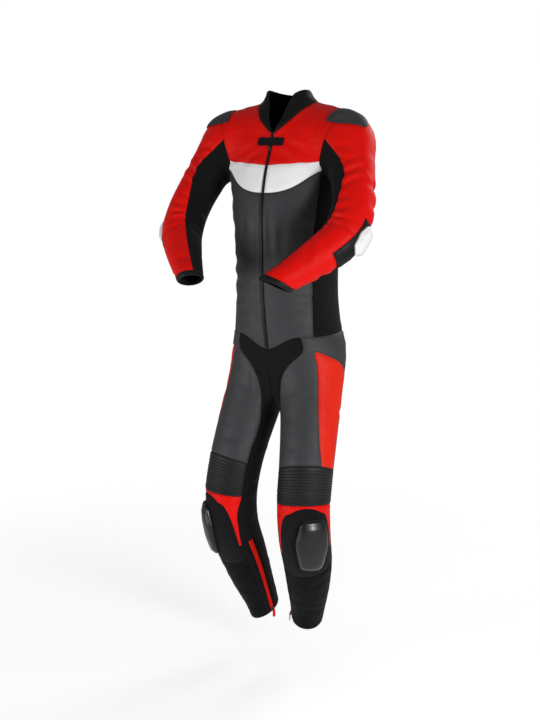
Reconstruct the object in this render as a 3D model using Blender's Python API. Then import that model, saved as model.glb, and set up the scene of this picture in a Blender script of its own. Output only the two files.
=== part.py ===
"""One-piece motorcycle race suit, worn shape with no wearer in it.

The suit is cut from panels that meet at seams on one body form. The form is a smooth
union of a torso, a yoke, a neck, two arms and two legs. Key rows of points are laid on
it, rows are lofted between them, and each panel is a block of that net given a wall.

Frame: metres, +Z up, the wearer faces -Y and the wearer's left is +X. The origin is the
middle of the neck, where the suit hangs from the wearer's shoulders.
"""

import math

import bpy
import numpy as np

MM = 0.001
DEG = math.pi / 180

# Walls and clearances
LEATHER = 2.0 * MM
STRETCH = 1.6 * MM
COLLAR_WALL = 3.0 * MM
SEAM_GAP = 0.36 * MM
LAID_GAP = 0.6 * MM
ZIP_HALF = 3.2 * MM

# Segments across each block of the net
FRONT_COLS = 9
SIDE_COLS = 4
BACK_COLS = 7
NECK_COLS = 6
CROTCH_BACK_COLS = 3
CROTCH_FRONT_COLS = 3
WING_COL = 7
PEAK_COL = 4
SLEEVE_COLS = (4, 4, 4)

# Body form ---------------------------------------------------------------------------
# height, half width, depth in front, depth behind
TORSO_SECTIONS = (
    (-0.720, 0.100, 0.064, 0.080),
    (-0.640, 0.122, 0.088, 0.104),
    (-0.550, 0.133, 0.104, 0.110),
    (-0.430, 0.121, 0.122, 0.112),
    (-0.310, 0.122, 0.126, 0.117),
    (-0.200, 0.132, 0.124, 0.121),
    (-0.120, 0.146, 0.104, 0.119),
    (-0.040, 0.148, 0.066, 0.102),
)
TORSO_SQUARENESS = 2.35
TORSO_TOP = -0.032
TORSO_BOTTOM = -0.705

# Chains of round sections: x, y, z, radius
YOKE_FORM = ((0.000, 0.016, -0.040, 0.077), (0.100, 0.011, -0.047, 0.074), (0.165, 0.000, -0.060, 0.063))
NECK_FORM = ((0.000, 0.013, -0.030, 0.069), (0.000, 0.007, 0.030, 0.059), (0.000, 0.004, 0.110, 0.036))
ARM_FORM = (
    (0.148, -0.002, -0.060, 0.060),
    (0.180, -0.022, -0.090, 0.056),
    (0.210, -0.060, -0.158, 0.050),
    (0.228, -0.104, -0.232, 0.049),
    (0.219, -0.142, -0.280, 0.049),
    (0.183, -0.188, -0.319, 0.043),
    (0.142, -0.232, -0.355, 0.035),
    (0.110, -0.265, -0.379, 0.030),
    (0.091, -0.284, -0.393, 0.028),
)
LEG_FORM = (
    (0.062, 0.010, -0.580, 0.081),
    (0.078, -0.020, -0.670, 0.075),
    (0.091, -0.054, -0.760, 0.069),
    (0.101, -0.086, -0.850, 0.065),
    (0.105, -0.106, -0.940, 0.063),
    (0.104, -0.098, -1.020, 0.062),
    (0.097, -0.070, -1.090, 0.059),
    (0.084, -0.042, -1.170, 0.051),
    (0.069, -0.018, -1.240, 0.041),
    (0.060, -0.008, -1.285, 0.037),
)
LEG_DEPTH_RATIO = 1.06
BLEND_YOKE, BLEND_NECK, BLEND_ARM, BLEND_LEG = 0.05, 0.03, 0.028, 0.032

# The net -----------------------------------------------------------------------------
FRONT_SEAM_ANGLE, BACK_SEAM_ANGLE = 58.0, 114.0
# name, height at the zip, at the side's front seam, its back seam, the back's middle, rows
TORSO_KEYS = (
    ("hip", -0.557, -0.524, -0.520, -0.520, 2),
    ("low_waist", -0.480, -0.465, -0.462, -0.465, 2),
    ("waist", -0.400, -0.395, -0.392, -0.395, 3),
    ("ribs", -0.300, -0.290, -0.288, -0.290, 4),
)
# Armhole seam from the band's foot, its top, the sleeve panel's peak and the slope, to the shoulder
ARMHOLE_FRONT = (
    (0.132, -0.086, -0.129), (0.127, -0.092, -0.106), (0.140, -0.075, -0.052), (0.156, -0.048, -0.012),
    (0.170, 0.000, 0.006),
)
ARMHOLE_BACK = (
    (0.140, 0.068, -0.136), (0.140, 0.096, -0.095), (0.148, 0.084, -0.045), (0.158, 0.052, -0.012),
    (0.170, 0.000, 0.006),
)
ARMHOLE_STEPS = (2, 2, 3, 2)
ARMPIT = (0.148, -0.010, -0.150)
ZIP_HEIGHTS = (-0.178, -0.114, -0.078, -0.058, -0.040)
BACK_HEIGHTS = (-0.142, -0.092, -0.040, 0.000, 0.032)
FRONT_BOW = (2.5, 1.0, 1.0, 1.0)
NECK_SIDE = (0.080, 0.004, 0.038)
COLLAR_TOP = (
    (0.000, -0.092, -0.034), (0.017, -0.078, -0.004), (0.030, -0.060, 0.031), (0.045, -0.033, 0.060),
    (0.053, 0.002, 0.065), (0.034, 0.048, 0.056), (0.000, 0.062, 0.052),
)

# Sleeve rings: share of the arm's length, front seam, patch front, patch back, back seam, rows,
# and how far the ring leans towards the hand along the top of the arm, mm
ARM_KEYS = (
    ("upper", 0.23, 114, 40, -30, -84, 3, 0),
    ("biceps", 0.34, 130, 44, -34, -100, 2, 0),
    ("patch_top", 0.450, 142, 40, -32, -112, 2, 0),
    ("elbow", 0.535, 146, 47, -36, -118, 2, 0),
    ("patch_foot", 0.650, 148, 50, -36, -126, 3, 0),
    ("forearm", 0.77, 148, 44, -40, -130, 2, 6),
    ("wrist", 0.903, 148, 44, -44, -132, 1, 20),
    ("cuff", 0.935, 148, 42, -44, -132, 0, 22),
)
FAN_ROWS = 4

# Leg rings: height of the ring's middle, then the angles of the inner front seam, the knee
# panel's inner edge, the thigh side's front seam, the knee panel's outer edge, the outer back
# seam and the inner back seam, rows, and how far the ring bows up at its front and at its outside
LEG_KEYS = (
    ("fork", -0.745, -56, -26, 48, 92, 118, 214, 2, 0, 0),
    ("thigh", -0.815, -56, -30, 57, 98, 118, 220, 1, 2, 3),
    ("ribs_top", -0.850, -56, -32, 64, 102, 118, 224, 3, 3, 4),
    ("ribs_foot", -0.930, -56, -32, 52, 102, 118, 224, 1, 2, 2),
    ("arch", -0.946, -50, 6, 34, 66, 117, 223, 1, 13, 2),
    ("bend", -0.959, -48, -16, 35, 89, 117, 223, 1, 12, 1),
    ("shoulder", -0.986, -45, -31, 36, 102, 116, 222, 1, 9, 0),
    ("tip", -1.045, -42, -37, 38, 108, 114, 218, 1, 0, 0),
    ("knee_foot", -1.090, -42, -30, 36, 98, 114, 214, 2, 0, 0),
    ("calf", -1.175, -42, -28, 34, 94, 114, 212, 3, -4, 0),
    ("hem", -1.266, -38, -26, 30, 92, 112, 212, 0, -9, 0),
)
LEG_SECTORS = (1, 4, 2, 1, 6)
# The knee panel's domed top: its middle and half width in degrees, and how far it falls, mm
ARCH_MIDDLE, ARCH_HALF, ARCH_FALL = 36, 30, 5.5
ZIP_TAPE = 0.3
HIP_ROWS = 5
# Rows between the hip seam and the fork: share of the way down, and the same at the outer back
# seam, how far the crotch panel's front seam stands from the middle, and the thigh side's front
# seam as a share of the way round from there to the outer back seam
HIP_KEYS = ((0.13, 0.43, 0.092, 0.205), (0.33, 0.56, 0.052, 0.37), (0.52, 0.70, 0.033, 0.47))
RIDGES, RIDGE_HEIGHT = 14, 2.0 * MM
CUP_PLACE = (0.189, -0.024, 0.001)

# Calf zip hardware, mm: outlines across and down
SLIDER_OUTLINE = ((-4, -5), (-2.5, -6), (2.5, -6), (4, -5), (3, 5), (2, 6), (-2, 6), (-3, 5))
SLIDER_DEPTH = 3.0 * MM
PULL_OUTLINE = (
    (-2.5, -0.5), (-1.5, -1), (1.5, -1), (2.5, -0.5), (4, 6), (4, 18), (3, 20), (-3, 20), (-4, 18), (-4, 6),
)
PULL_DEPTH = 1.6 * MM

# Maths -------------------------------------------------------------------------------
def cubic(keys, at):
    """Values at `at` on a smooth curve through rows of (position, values...)."""
    keys = np.asarray(keys, float)
    x, y = keys[:, 0], keys[:, 1:]
    slope = np.gradient(y, x, axis=0)
    at = np.clip(np.asarray(at, float), x[0], x[-1])
    i = np.clip(np.searchsorted(x, at, side="right") - 1, 0, len(x) - 2)
    h = (x[i + 1] - x[i])[..., None]
    t = ((at - x[i]) / (x[i + 1] - x[i]))[..., None]
    return (
        (2 * t**3 - 3 * t**2 + 1) * y[i]
        + (t**3 - 2 * t**2 + t) * h * slope[i]
        + (3 * t**2 - 2 * t**3) * y[i + 1]
        + (t**3 - t**2) * h * slope[i + 1]
    )


def unit(v):
    return v / np.maximum(np.linalg.norm(v, axis=-1, keepdims=True), 1e-12)


def chain_samples(rows, count):
    """A chain of round sections, read as `count` points on a smooth curve."""
    rows = np.asarray(rows, float)
    run = np.concatenate([[0], np.cumsum(np.linalg.norm(np.diff(rows[:, :3], axis=0), axis=1))])
    return cubic(np.column_stack([run / run[-1], rows]), np.linspace(0, 1, count))


def smooth_min(a, b, radius):
    share = np.clip(0.5 + 0.5 * (b - a) / radius, 0, 1)
    return b + (a - b) * share - radius * share * (1 - share)


def chain_distance(p, samples):
    """Distance to the skin of a chain of round sections."""
    a, b = samples[:-1], samples[1:]
    d = b[:, :3] - a[:, :3]
    w = p[:, None, :] - a[None, :, :3]
    t = np.clip((w * d).sum(-1) / (d * d).sum(-1), 0, 1)
    near = np.linalg.norm(w - t[..., None] * d, axis=-1)
    return (near - (a[:, 3] + t * (b[:, 3] - a[:, 3]))).min(axis=1)


YOKE, NECK = chain_samples(YOKE_FORM, 8), chain_samples(NECK_FORM, 8)
ARM, LEG = chain_samples(ARM_FORM, 25), chain_samples(LEG_FORM, 25)
LEG_SQUASHED = LEG * np.array([1, 1 / LEG_DEPTH_RATIO, 1, 1])


def torso_distance(p):
    half_width, front, behind = cubic(TORSO_SECTIONS, p[:, 2]).T
    depth = np.where(p[:, 1] < 0, front, behind)
    n = TORSO_SQUARENESS
    reach = (np.abs(p[:, 0] / half_width) ** n + np.abs(p[:, 1] / depth) ** n) ** (1 / n)
    side = (reach - 1) * np.minimum(half_width, depth)
    ends = np.maximum(p[:, 2] - TORSO_TOP, TORSO_BOTTOM - p[:, 2])
    return smooth_max(side, ends, 0.05)


def smooth_max(a, b, radius):
    return -smooth_min(-a, -b, radius)


def form(p):
    """Signed distance, near enough, from the body form's skin: below zero inside."""
    p = np.column_stack([np.abs(p[:, 0]), p[:, 1], p[:, 2]])
    skin = smooth_min(torso_distance(p), chain_distance(p, YOKE), BLEND_YOKE)
    squashed = p * np.array([1, 1 / LEG_DEPTH_RATIO, 1])
    skin = smooth_min(skin, chain_distance(squashed, LEG_SQUASHED), BLEND_LEG)
    skin = smooth_min(skin, chain_distance(p, NECK), BLEND_NECK)
    return smooth_min(skin, chain_distance(p, ARM), BLEND_ARM)


def slope(p):
    step = 0.0005
    parts = []
    for axis in np.eye(3) * step:
        parts.append((form(p + axis) - form(p - axis)) / (2 * step))
    return np.column_stack(parts)


def onto_form(points, passes=8):
    """The points moved onto the body form's skin."""
    shape = np.shape(points)
    p = np.array(points, float).reshape(-1, 3)
    for _ in range(passes):
        g = slope(p)
        p = p - (form(p) / np.maximum((g * g).sum(-1), 0.05))[:, None] * g
    return p.reshape(shape)


def normals(points):
    return unit(slope(np.reshape(points, (-1, 3)))).reshape(np.shape(points))


def from_axis(origin, direction):
    """Where rays from inside the form first leave it."""
    origin, direction = np.broadcast_arrays(np.atleast_2d(origin), unit(np.atleast_2d(direction)))
    run = np.full(len(origin), 0.005)
    for _ in range(40):
        run = run - 0.8 * form(origin + run[:, None] * direction)
    return origin + run[:, None] * direction


def evenly(points, count, first=0.0):
    """The same line in `count` even segments, or a first one of its own length and the rest even."""
    points = np.asarray(points, float)
    run = np.concatenate([[0], np.cumsum(np.linalg.norm(np.diff(points, axis=0), axis=1))])
    at = np.linspace(0, run[-1], count + 1)
    if first:
        at = np.concatenate([[0], np.linspace(first, run[-1], count)])
    return np.column_stack([np.interp(at, run, points[:, k]) for k in range(3)])


def line_on_form(keys, count, first=0.0):
    """A smooth line through key points, laid on the form."""
    keys = np.asarray(keys, float)
    run = np.concatenate([[0], np.cumsum(np.linalg.norm(np.diff(keys, axis=0), axis=1))])
    fine = cubic(np.column_stack([run, keys]), np.linspace(0, run[-1], 40))
    return onto_form(evenly(onto_form(fine), count, first))


# Charts ------------------------------------------------------------------------------
def torso_point(height, angle):
    """On the torso's skin: angle 0 in front, 90 to the wearer's left."""
    height, angle = np.broadcast_arrays(np.asarray(height, float), np.asarray(angle, float) * DEG)
    origin = np.column_stack([0 * height.ravel(), 0 * height.ravel(), height.ravel()])
    way = np.column_stack([np.sin(angle.ravel()), -np.cos(angle.ravel()), 0 * angle.ravel()])
    return from_axis(origin, way)


def limb_frame(samples, share, side):
    """Place, and the two directions across, of a limb's centre line at a share of its length."""
    line = samples[:, :3]
    at = np.linspace(0, 1, len(line))
    place = np.array([np.interp(share, at, line[:, k]) for k in range(3)])
    ahead = unit(
        np.array([np.interp(min(share + 0.03, 1), at, line[:, k]) for k in range(3)])
        - np.array([np.interp(max(share - 0.03, 0), at, line[:, k]) for k in range(3)])
    )
    across = unit(side - (side @ ahead) * ahead)
    return place, across, np.cross(across, ahead)


def arm_plane():
    """The direction out of the plane in which the arm bends, towards the front."""
    shoulder, elbow, wrist = ARM[5, :3], ARM[14, :3], ARM[-1, :3]
    return -unit(np.cross(elbow - shoulder, wrist - elbow))


ARM_FRONT = arm_plane()
ARM_LENGTH = np.linalg.norm(np.diff(ARM[:, :3], axis=0), axis=1).sum()
ARM_TOP = 149.0


def arm_point(share, angle, lean=0.0):
    """On a sleeve: angle 0 at the elbow's side, 90 in front; `lean` tips the ring, in mm."""
    angle = np.atleast_1d(angle) * DEG
    shift = lean * MM * np.cos(angle - ARM_TOP * DEG) / ARM_LENGTH
    points = []
    for turn, step in zip(angle, shift):
        place, front, out = limb_frame(ARM, share + step, ARM_FRONT)
        points.append(from_axis(place, math.cos(turn) * out + math.sin(turn) * front)[0])
    return np.array(points)


def leg_point(height, angle, bow=0.0, tilt=0.0, fall=0.0):
    """On a leg: angle 0 in front, 90 outside, 270 inside.

    `bow` and `tilt` lift its front and outside, and `fall` lowers what is beside the arch's middle, mm.
    """
    aside = (np.atleast_1d(angle) - ARCH_MIDDLE) / ARCH_HALF
    angle = np.atleast_1d(angle) * DEG
    middle = LEG[:, 2][::-1], np.linspace(1, 0, len(LEG))
    rise = (bow * np.cos(angle - 37 * DEG) + tilt * np.sin(angle) - fall * np.minimum(aside**2, 1)) * MM
    points = []
    for turn, lift in zip(angle, rise):
        place, front, out = limb_frame(LEG, np.interp(height + lift, *middle), np.array([0.0, -1.0, 0.0]))
        points.append(from_axis(place, math.cos(turn) * front + math.sin(turn) * out)[0])
    return np.array(points)


def loft(key_rows, steps, passes=8):
    """Rows between the key rows, on a smooth curve through them, all laid on the form."""
    key_rows = np.asarray(key_rows, float)
    place = np.concatenate([[0], np.cumsum(steps)]).astype(float)
    flat = key_rows.reshape(len(key_rows), -1)
    rows = cubic(np.column_stack([place, flat]), np.arange(place[-1] + 1))
    return onto_form(rows.reshape(-1, *key_rows.shape[1:]), passes)


def torso_net():
    """Blocks front, side and back of the left half, rows from the hip seam up."""
    front, side, back = [], [], []
    for _, zip_z, front_z, back_z, centre_z, _ in TORSO_KEYS:
        sweep = np.linspace(0, 1, 17)
        rise = 0.5 - 0.5 * np.cos(np.pi * np.minimum(sweep * 1.35, 1))
        front_line = torso_point(zip_z + (front_z - zip_z) * rise, FRONT_SEAM_ANGLE * sweep)
        front.append(evenly(front_line, FRONT_COLS, ZIP_HALF))
        angles = np.linspace(FRONT_SEAM_ANGLE, BACK_SEAM_ANGLE, 9)
        side.append(evenly(torso_point(np.linspace(front_z, back_z, 9), angles), SIDE_COLS))
        angles = np.linspace(BACK_SEAM_ANGLE, 180, 9)
        back.append(evenly(torso_point(np.linspace(back_z, centre_z, 9), angles), BACK_COLS))
    for height, hole, bow in zip(ZIP_HEIGHTS, ARMHOLE_FRONT, FRONT_BOW):
        turn = math.degrees(math.atan2(hole[0], -hole[1]))
        sweep = np.linspace(0, 0.85, 7)
        line = torso_point(height + (hole[2] - height) * sweep**bow, turn * sweep)
        front.append(line_on_form([*line, hole], FRONT_COLS, ZIP_HALF))
    neck_front = line_on_form(
        [(0, -0.09, ZIP_HEIGHTS[-1]), (0.040, -0.070, -0.006), (0.068, -0.034, 0.026), NECK_SIDE],
        NECK_COLS,
        ZIP_HALF,
    )
    shoulder = line_on_form([NECK_SIDE, (0.125, 0.001, 0.024), ARMHOLE_FRONT[-1]], FRONT_COLS - NECK_COLS)
    neck_back = line_on_form(
        [NECK_SIDE, (0.060, 0.048, 0.034), (0, 0.068, BACK_HEIGHTS[-1])], BACK_COLS - FRONT_COLS + NECK_COLS
    )
    front.append(np.concatenate([neck_front, shoulder[1:]]))
    side.append(line_on_form([ARMHOLE_FRONT[0], ARMPIT, ARMHOLE_BACK[0]], SIDE_COLS))
    for height, hole in zip(BACK_HEIGHTS, ARMHOLE_BACK[:-1]):
        middle, edge = torso_point(height, 180)[0], onto_form([hole])[0]
        via = middle * 0.5 + edge * 0.5 + np.array([0.0, 0.02, 0.0])
        back.append(line_on_form([edge, via, middle], BACK_COLS))
    back.append(np.concatenate([shoulder[::-1], neck_back[1:]]))
    lower = [row[-1] for row in TORSO_KEYS]
    front = loft(front, lower + list(ARMHOLE_STEPS))
    back = loft(back, lower + list(ARMHOLE_STEPS))
    side = loft(side, lower)
    share = np.linspace(0, 1, SIDE_COLS + 1)[None, :, None]
    miss = (front[: len(side), -1] - side[:, 0])[:, None], (back[: len(side), 0] - side[:, -1])[:, None]
    side = onto_form(side + miss[0] * (1 - share) + miss[1] * share)
    side[:, 0], side[:, -1] = front[: len(side), -1], back[: len(side), 0]
    return front, side, back


def spread(angles, counts):
    """Angles from one seam to the next in even steps, each seam's own angle shared."""
    turns = [np.array([angles[0]], float)]
    for low, high, count in zip(angles[:-1], angles[1:], counts):
        turns.append(np.linspace(low, high, count + 1)[1:])
    return np.concatenate(turns)


def spaced(row, at):
    """The row with its first points moved along it to the given shares of their run."""
    first = row[: len(at)]
    run = np.concatenate([[0], np.cumsum(np.linalg.norm(np.diff(first, axis=0), axis=1))])
    moved = np.column_stack([np.interp(at * run[-1], run, first[:, k]) for k in range(3)])
    return np.concatenate([moved, row[len(at) :]])


def arm_net(front, back, side):
    """Rings of the left sleeve, from the armhole out. Column 0 is the inner panel's front seam."""
    low = sum(row[-1] for row in TORSO_KEYS)
    hole = np.concatenate([front[low:, -1], back[low:, 0][::-1][1:], side[-1][::-1][1:-1]])
    hole = np.roll(hole, -PEAK_COL, axis=0)
    counts = (*SLEEVE_COLS, len(hole) - sum(SLEEVE_COLS))
    keys = [np.concatenate([hole, hole[:1]])]
    for _, share, a, b, c, d, _, lean in ARM_KEYS:
        keys.append(arm_point(share, spread((a, b, c, d, a - 360), counts), lean))
    return loft(keys, [FAN_ROWS] + [row[-2] for row in ARM_KEYS[:-1]])


def leg_net(front, side, back):
    """Rings of the left leg, from the hip seam and the crotch line down to the hem."""
    hip = np.concatenate([front[0], side[0][1:], back[0][1:]])
    behind = line_on_form(
        [hip[-1], (0, 0.118, -0.620), (0, 0.080, -0.700), (0, 0.020, -0.722)], CROTCH_BACK_COLS
    )
    ahead = line_on_form([behind[-1], (0, -0.050, -0.705), (0, -0.088, -0.640), hip[0]], CROTCH_FRONT_COLS)
    for line in (behind, ahead):
        line[:, 0] = 0
    ring = np.concatenate([hip, behind[1:], ahead[1:-1]])
    ring = np.roll(ring, -WING_COL, axis=0)
    counts = (*LEG_SECTORS, len(ring) - sum(LEG_SECTORS))
    keys = [np.concatenate([ring, ring[:1]])]
    for name, height, a, b, c, d, e, f, _, bow, tilt in LEG_KEYS:
        angles = spread((a, b, c, d, e, f, a + 360), counts)
        angles[-5], angles[-3] = np.interp((ZIP_TAPE, 2 - ZIP_TAPE), (0, 2), angles[[-5, -3]])
        keys.append(leg_point(height, angles, bow, tilt, ARCH_FALL if name == "arch" else 0.0))
    cols = np.arange(len(ring) + 1)
    near_wing = np.maximum(np.exp(-((cols / 2.5) ** 2)), np.exp(-(((cols - len(ring)) / 2.5) ** 2)))
    _, thigh, _, seam, back_seam = np.cumsum(LEG_SECTORS)
    added = []
    for share, seam_share, x, side_edge in HIP_KEYS:
        down = share + (seam_share - share) * np.interp(cols, (thigh, seam, back_seam), (0, 1, 0))
        at = spread((0, side_edge, 1), (thigh, seam - thigh))
        upper, lower = spaced(keys[0], at), spaced(keys[1], at)
        row = upper + down[:, None] * (lower - upper)
        row[:, 0] += near_wing * (x - row[0, 0])
        added.append(onto_form(spaced(onto_form(row), at)))
    steps = [1, 1, 1, HIP_ROWS - len(HIP_KEYS)] + [row[8] for row in LEG_KEYS[:-1]]
    return loft([keys[0], *added, *keys[1:]], steps)


# Panels ------------------------------------------------------------------------------
def panel(name, net, areas, wall, colour, lift=0.0, ridges=None, around=False, gap=SEAM_GAP / 2):
    """A closed solid from areas of a net (first row, last row, first column, last column).

    Its edges are drawn in along the skin by half a seam gap, its outer points are lifted
    half a wall and its inner points lie half a wall below.
    """
    width = net.shape[1] - (1 if around else 0)
    cells = {(r, c) for r0, r1, c0, c1 in areas for r in range(r0, r1) for c in range(c0, c1)}
    index, faces = {}, []
    for r, c in sorted(cells):
        beyond = (c + 1) % width if around else c + 1
        corners = ((r, c), (r, beyond), (r + 1, beyond), (r + 1, c))
        faces.append(tuple(index.setdefault(k, len(index)) for k in corners))
    points = np.array([net[k] for k in index])
    edges = {(f[k], f[(k + 1) % 4]): f for f in faces for k in range(4)}
    border = [(e, f) for e, f in edges.items() if (e[1], e[0]) not in edges]
    facing = normals(points)
    pull, alike = {}, {}
    for (a, b), face in border:
        along = unit(points[b] - points[a])
        for v in (a, b):
            inward = unit(np.cross(facing[v], along))
            if inward @ (points[list(face)].mean(axis=0) - points[v]) < 0:
                inward = -inward
            pull.setdefault(v, []).append(inward)
    moved = points.copy()
    for v, ways in pull.items():
        total = np.sum(ways, axis=0)
        moved[v] += gap * total / max(0.4, 1 + ways[0] @ ways[-1] if len(ways) > 1 else 1)
    facing = normals(moved)
    height = np.full(len(points), wall / 2 + lift)
    if ridges is not None:
        height = height + np.array([ridges[k] for k in index])
    outer = moved + facing * height[:, None]
    inner = moved - facing * (wall / 2 - lift)
    return shell(name, outer, inner, faces, [edge for edge, _ in border], colour)


def shell(name, outer, inner, quads, border, colour):
    """A closed solid between two sheets of the same points, walled along its border edges."""
    n = len(outer)
    faces = []
    for a, b, c, d in quads:
        short = np.linalg.norm(outer[a] - outer[c]) <= np.linalg.norm(outer[b] - outer[d])
        faces += [(a, b, c), (a, c, d)] if short else [(a, b, d), (b, c, d)]
    faces += [tuple(n + k for k in reversed(face)) for face in faces]
    for a, b in border:
        faces += [(b, a, n + a), (b, n + a, n + b)]
    return solid(name, np.concatenate([outer, inner]), faces, colour)


def solid(name, points, faces, colour):
    mesh = bpy.data.meshes.new(name)
    mesh.from_pydata([tuple(p) for p in points], [], faces)
    if signed_volume(points, faces) < 0:
        mesh.flip_normals()
    mesh.materials.append(MATERIALS[colour])
    mesh.shade_smooth()
    mesh.set_sharp_from_angle(angle=40 * DEG)
    made = bpy.data.objects.new(name, mesh)
    bpy.context.scene.collection.objects.link(made)
    return made


def signed_volume(points, faces):
    total = 0.0
    for face in faces:
        a = points[face[0]]
        for b, c in zip(face[1:-1], face[2:]):
            total += a @ np.cross(points[b], points[c])
    return total


def both(name, net, areas, wall, colour, **more):
    """A panel and its twin on the wearer's right."""
    panel(name + "_left", net, areas, wall, colour, **more)
    panel(name + "_right", net * np.array([-1, 1, 1]), areas, wall, colour, **more)


def whole(block, first):
    """A block and its mirror image joined at the body's middle; `first` says the middle is column 0."""
    flipped = (block * np.array([-1, 1, 1]))[:, ::-1]
    return np.concatenate([flipped, block[:, 1:]] if first else [block, flipped[:, 1:]], axis=1)


def laid(name, centre, up, size, counts, colour, heights, rounding=0.9, taper=0.0, tilt=0.0, wedge=0.0):
    """A piece lying on the suit: `heights` are its underside, its edge and its crown above the form."""
    centre = onto_form([centre])[0]
    facing = normals([centre])[0]
    up = unit(np.asarray(up, float) - (np.asarray(up, float) @ facing) * facing)
    across = np.cross(up, facing)
    across, up = across * math.cos(tilt) + up * math.sin(tilt), up * math.cos(tilt) - across * math.sin(tilt)
    u, v = np.meshgrid(np.linspace(-1, 1, counts[0] + 1), np.linspace(-1, 1, counts[1] + 1))
    x = u * np.sqrt(1 - rounding * v * v / 2) * (1 - taper * v * v + wedge * v)
    y = v * np.sqrt(1 - rounding * u * u / 2)
    grid = onto_form(centre + x[..., None] * size[0] / 2 * across + y[..., None] * size[1] / 2 * up)
    underside, edge, crown = heights
    rise = edge + (crown - edge) * (1 - np.maximum(np.abs(u), np.abs(v)) ** 3)
    facing = normals(grid)
    sides = (("_left", 1), ("_right", -1)) if abs(centre[0]) > MM else (("", 1),)
    for side, sign in sides:
        flip = np.array([sign, 1, 1])
        block(name + side, (grid + facing * rise[..., None]) * flip, (grid + facing * underside) * flip, colour)


def block(name, outer, inner, colour):
    """A closed solid between two grids of points."""
    rows, cols = outer.shape[:2]
    at = np.arange(rows * cols).reshape(rows, cols)
    quads = np.stack([at[:-1, :-1], at[:-1, 1:], at[1:, 1:], at[1:, :-1]], axis=-1).reshape(-1, 4)
    ring = [*at[0], *at[1:, -1], *at[-1, -2::-1], *at[-2:0:-1, 0]]
    border = list(zip(ring, ring[1:] + ring[:1]))
    return shell(name, outer.reshape(-1, 3), inner.reshape(-1, 3), quads, border, colour)


def finer(net, parts):
    """Rows added on the straight lines between the net's rows."""
    rows = [net[:-1] + (net[1:] - net[:-1]) * k / parts for k in range(parts)]
    return np.concatenate([np.stack(rows, axis=1).reshape(-1, *net.shape[1:]), net[-1:]])


def material(name, colour, roughness, metallic=0.0):
    made = bpy.data.materials.new(name)
    made.use_nodes = True
    shader = made.node_tree.nodes["Principled BSDF"]
    shader.inputs["Base Color"].default_value = (*colour, 1)
    shader.inputs["Roughness"].default_value = roughness
    shader.inputs["Metallic"].default_value = metallic
    made.diffuse_color = (*colour, 1)
    return made


# The suit ----------------------------------------------------------------------------
def torso(front, side, back):
    low = sum(row[-1] for row in TORSO_KEYS)
    top = low + sum(ARMHOLE_STEPS)
    band = low + ARMHOLE_STEPS[0]
    both("front", front, [(0, low, 1, FRONT_COLS)], LEATHER, "charcoal leather")
    both("chest_band", front, [(low, band, 1, FRONT_COLS)], LEATHER, "white leather")
    both("yoke_front", front, [(band, top, 1, FRONT_COLS)], LEATHER, "red leather")
    panel("zip_front", whole(front[:, :2], True), [(0, top, 0, 2)], STRETCH, "black stretch")
    both("side", side, [(0, low, 0, SIDE_COLS)], STRETCH, "black stretch")
    wide = whole(back, False)
    panel("back", wide, [(0, band, 0, 2 * BACK_COLS)], LEATHER, "charcoal leather")
    panel("yoke_back", wide, [(band, top, 0, 2 * BACK_COLS)], LEATHER, "red leather")


def collar(front, back):
    seam = np.concatenate([front[-1, : NECK_COLS + 1], back[-1, FRONT_COLS - NECK_COLS + 1 :]])
    edge = line_on_form(COLLAR_TOP, len(seam) - 1, ZIP_HALF)
    half = onto_form(np.stack([seam + (edge - seam) * share for share in np.linspace(0, 1, 4)]))
    ring = whole(half, False)
    panel("collar", ring, [(0, 3, 0, ring.shape[1] - 1)], COLLAR_WALL, "black leather", gap=0.35 * MM)
    laid("collar_tab", (0, -0.10, -0.054), (0, 0, 1), (0.070, 0.021), (6, 2), "black leather",
         (LEATHER / 2 + LAID_GAP, 3.4 * MM, 3.8 * MM), rounding=0.35)


def sleeves(arm):
    steps = np.cumsum([FAN_ROWS] + [row[-2] for row in ARM_KEYS[:-1]])
    at = {row[0]: int(step) for row, step in zip(ARM_KEYS, steps)}
    a, b, c = np.cumsum(SLEEVE_COLS)
    last = arm.shape[1] - 1
    top, elbow, foot = at["patch_top"], at["elbow"], at["patch_foot"]
    both("sleeve_upper", arm, [(0, top, 0, c), (top, elbow, 0, a), (top, elbow, b, c)], LEATHER, "red leather")
    both("sleeve_lower", arm, [(elbow, foot, 0, a), (elbow, foot, b, c), (foot, at["wrist"], 0, c)],
         LEATHER, "red leather")
    both("elbow_patch", arm, [(top, foot, a, b)], LEATHER, "black leather")
    both("sleeve_inner", arm, [(0, at["forearm"], c, last)], STRETCH, "black stretch", gap=0.25 * MM)
    both("wrist_gusset", arm, [(at["forearm"], at["wrist"], c, last)], LEATHER, "black leather")
    both("cuff", arm, [(at["wrist"], at["cuff"], 0, last)], LEATHER, "black leather",
         around=True, gap=0.25 * MM)
    laid("shoulder_cup", CUP_PLACE, (-0.8, 0, 0.6), (0.104, 0.090), (6, 6), "black plastic",
         (LEATHER / 2 + 2.5 * LAID_GAP, 4.5 * MM, 7.0 * MM), rounding=0.7)
    laid("elbow_slider", arm_point(0.525, 6)[0], arm[top, a + 2] - arm[elbow, a + 2],
         (0.064, 0.072), (5, 5), "white plastic", (LEATHER / 2 + 2.0 * LAID_GAP, 8 * MM, 14 * MM), rounding=0.7)


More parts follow.
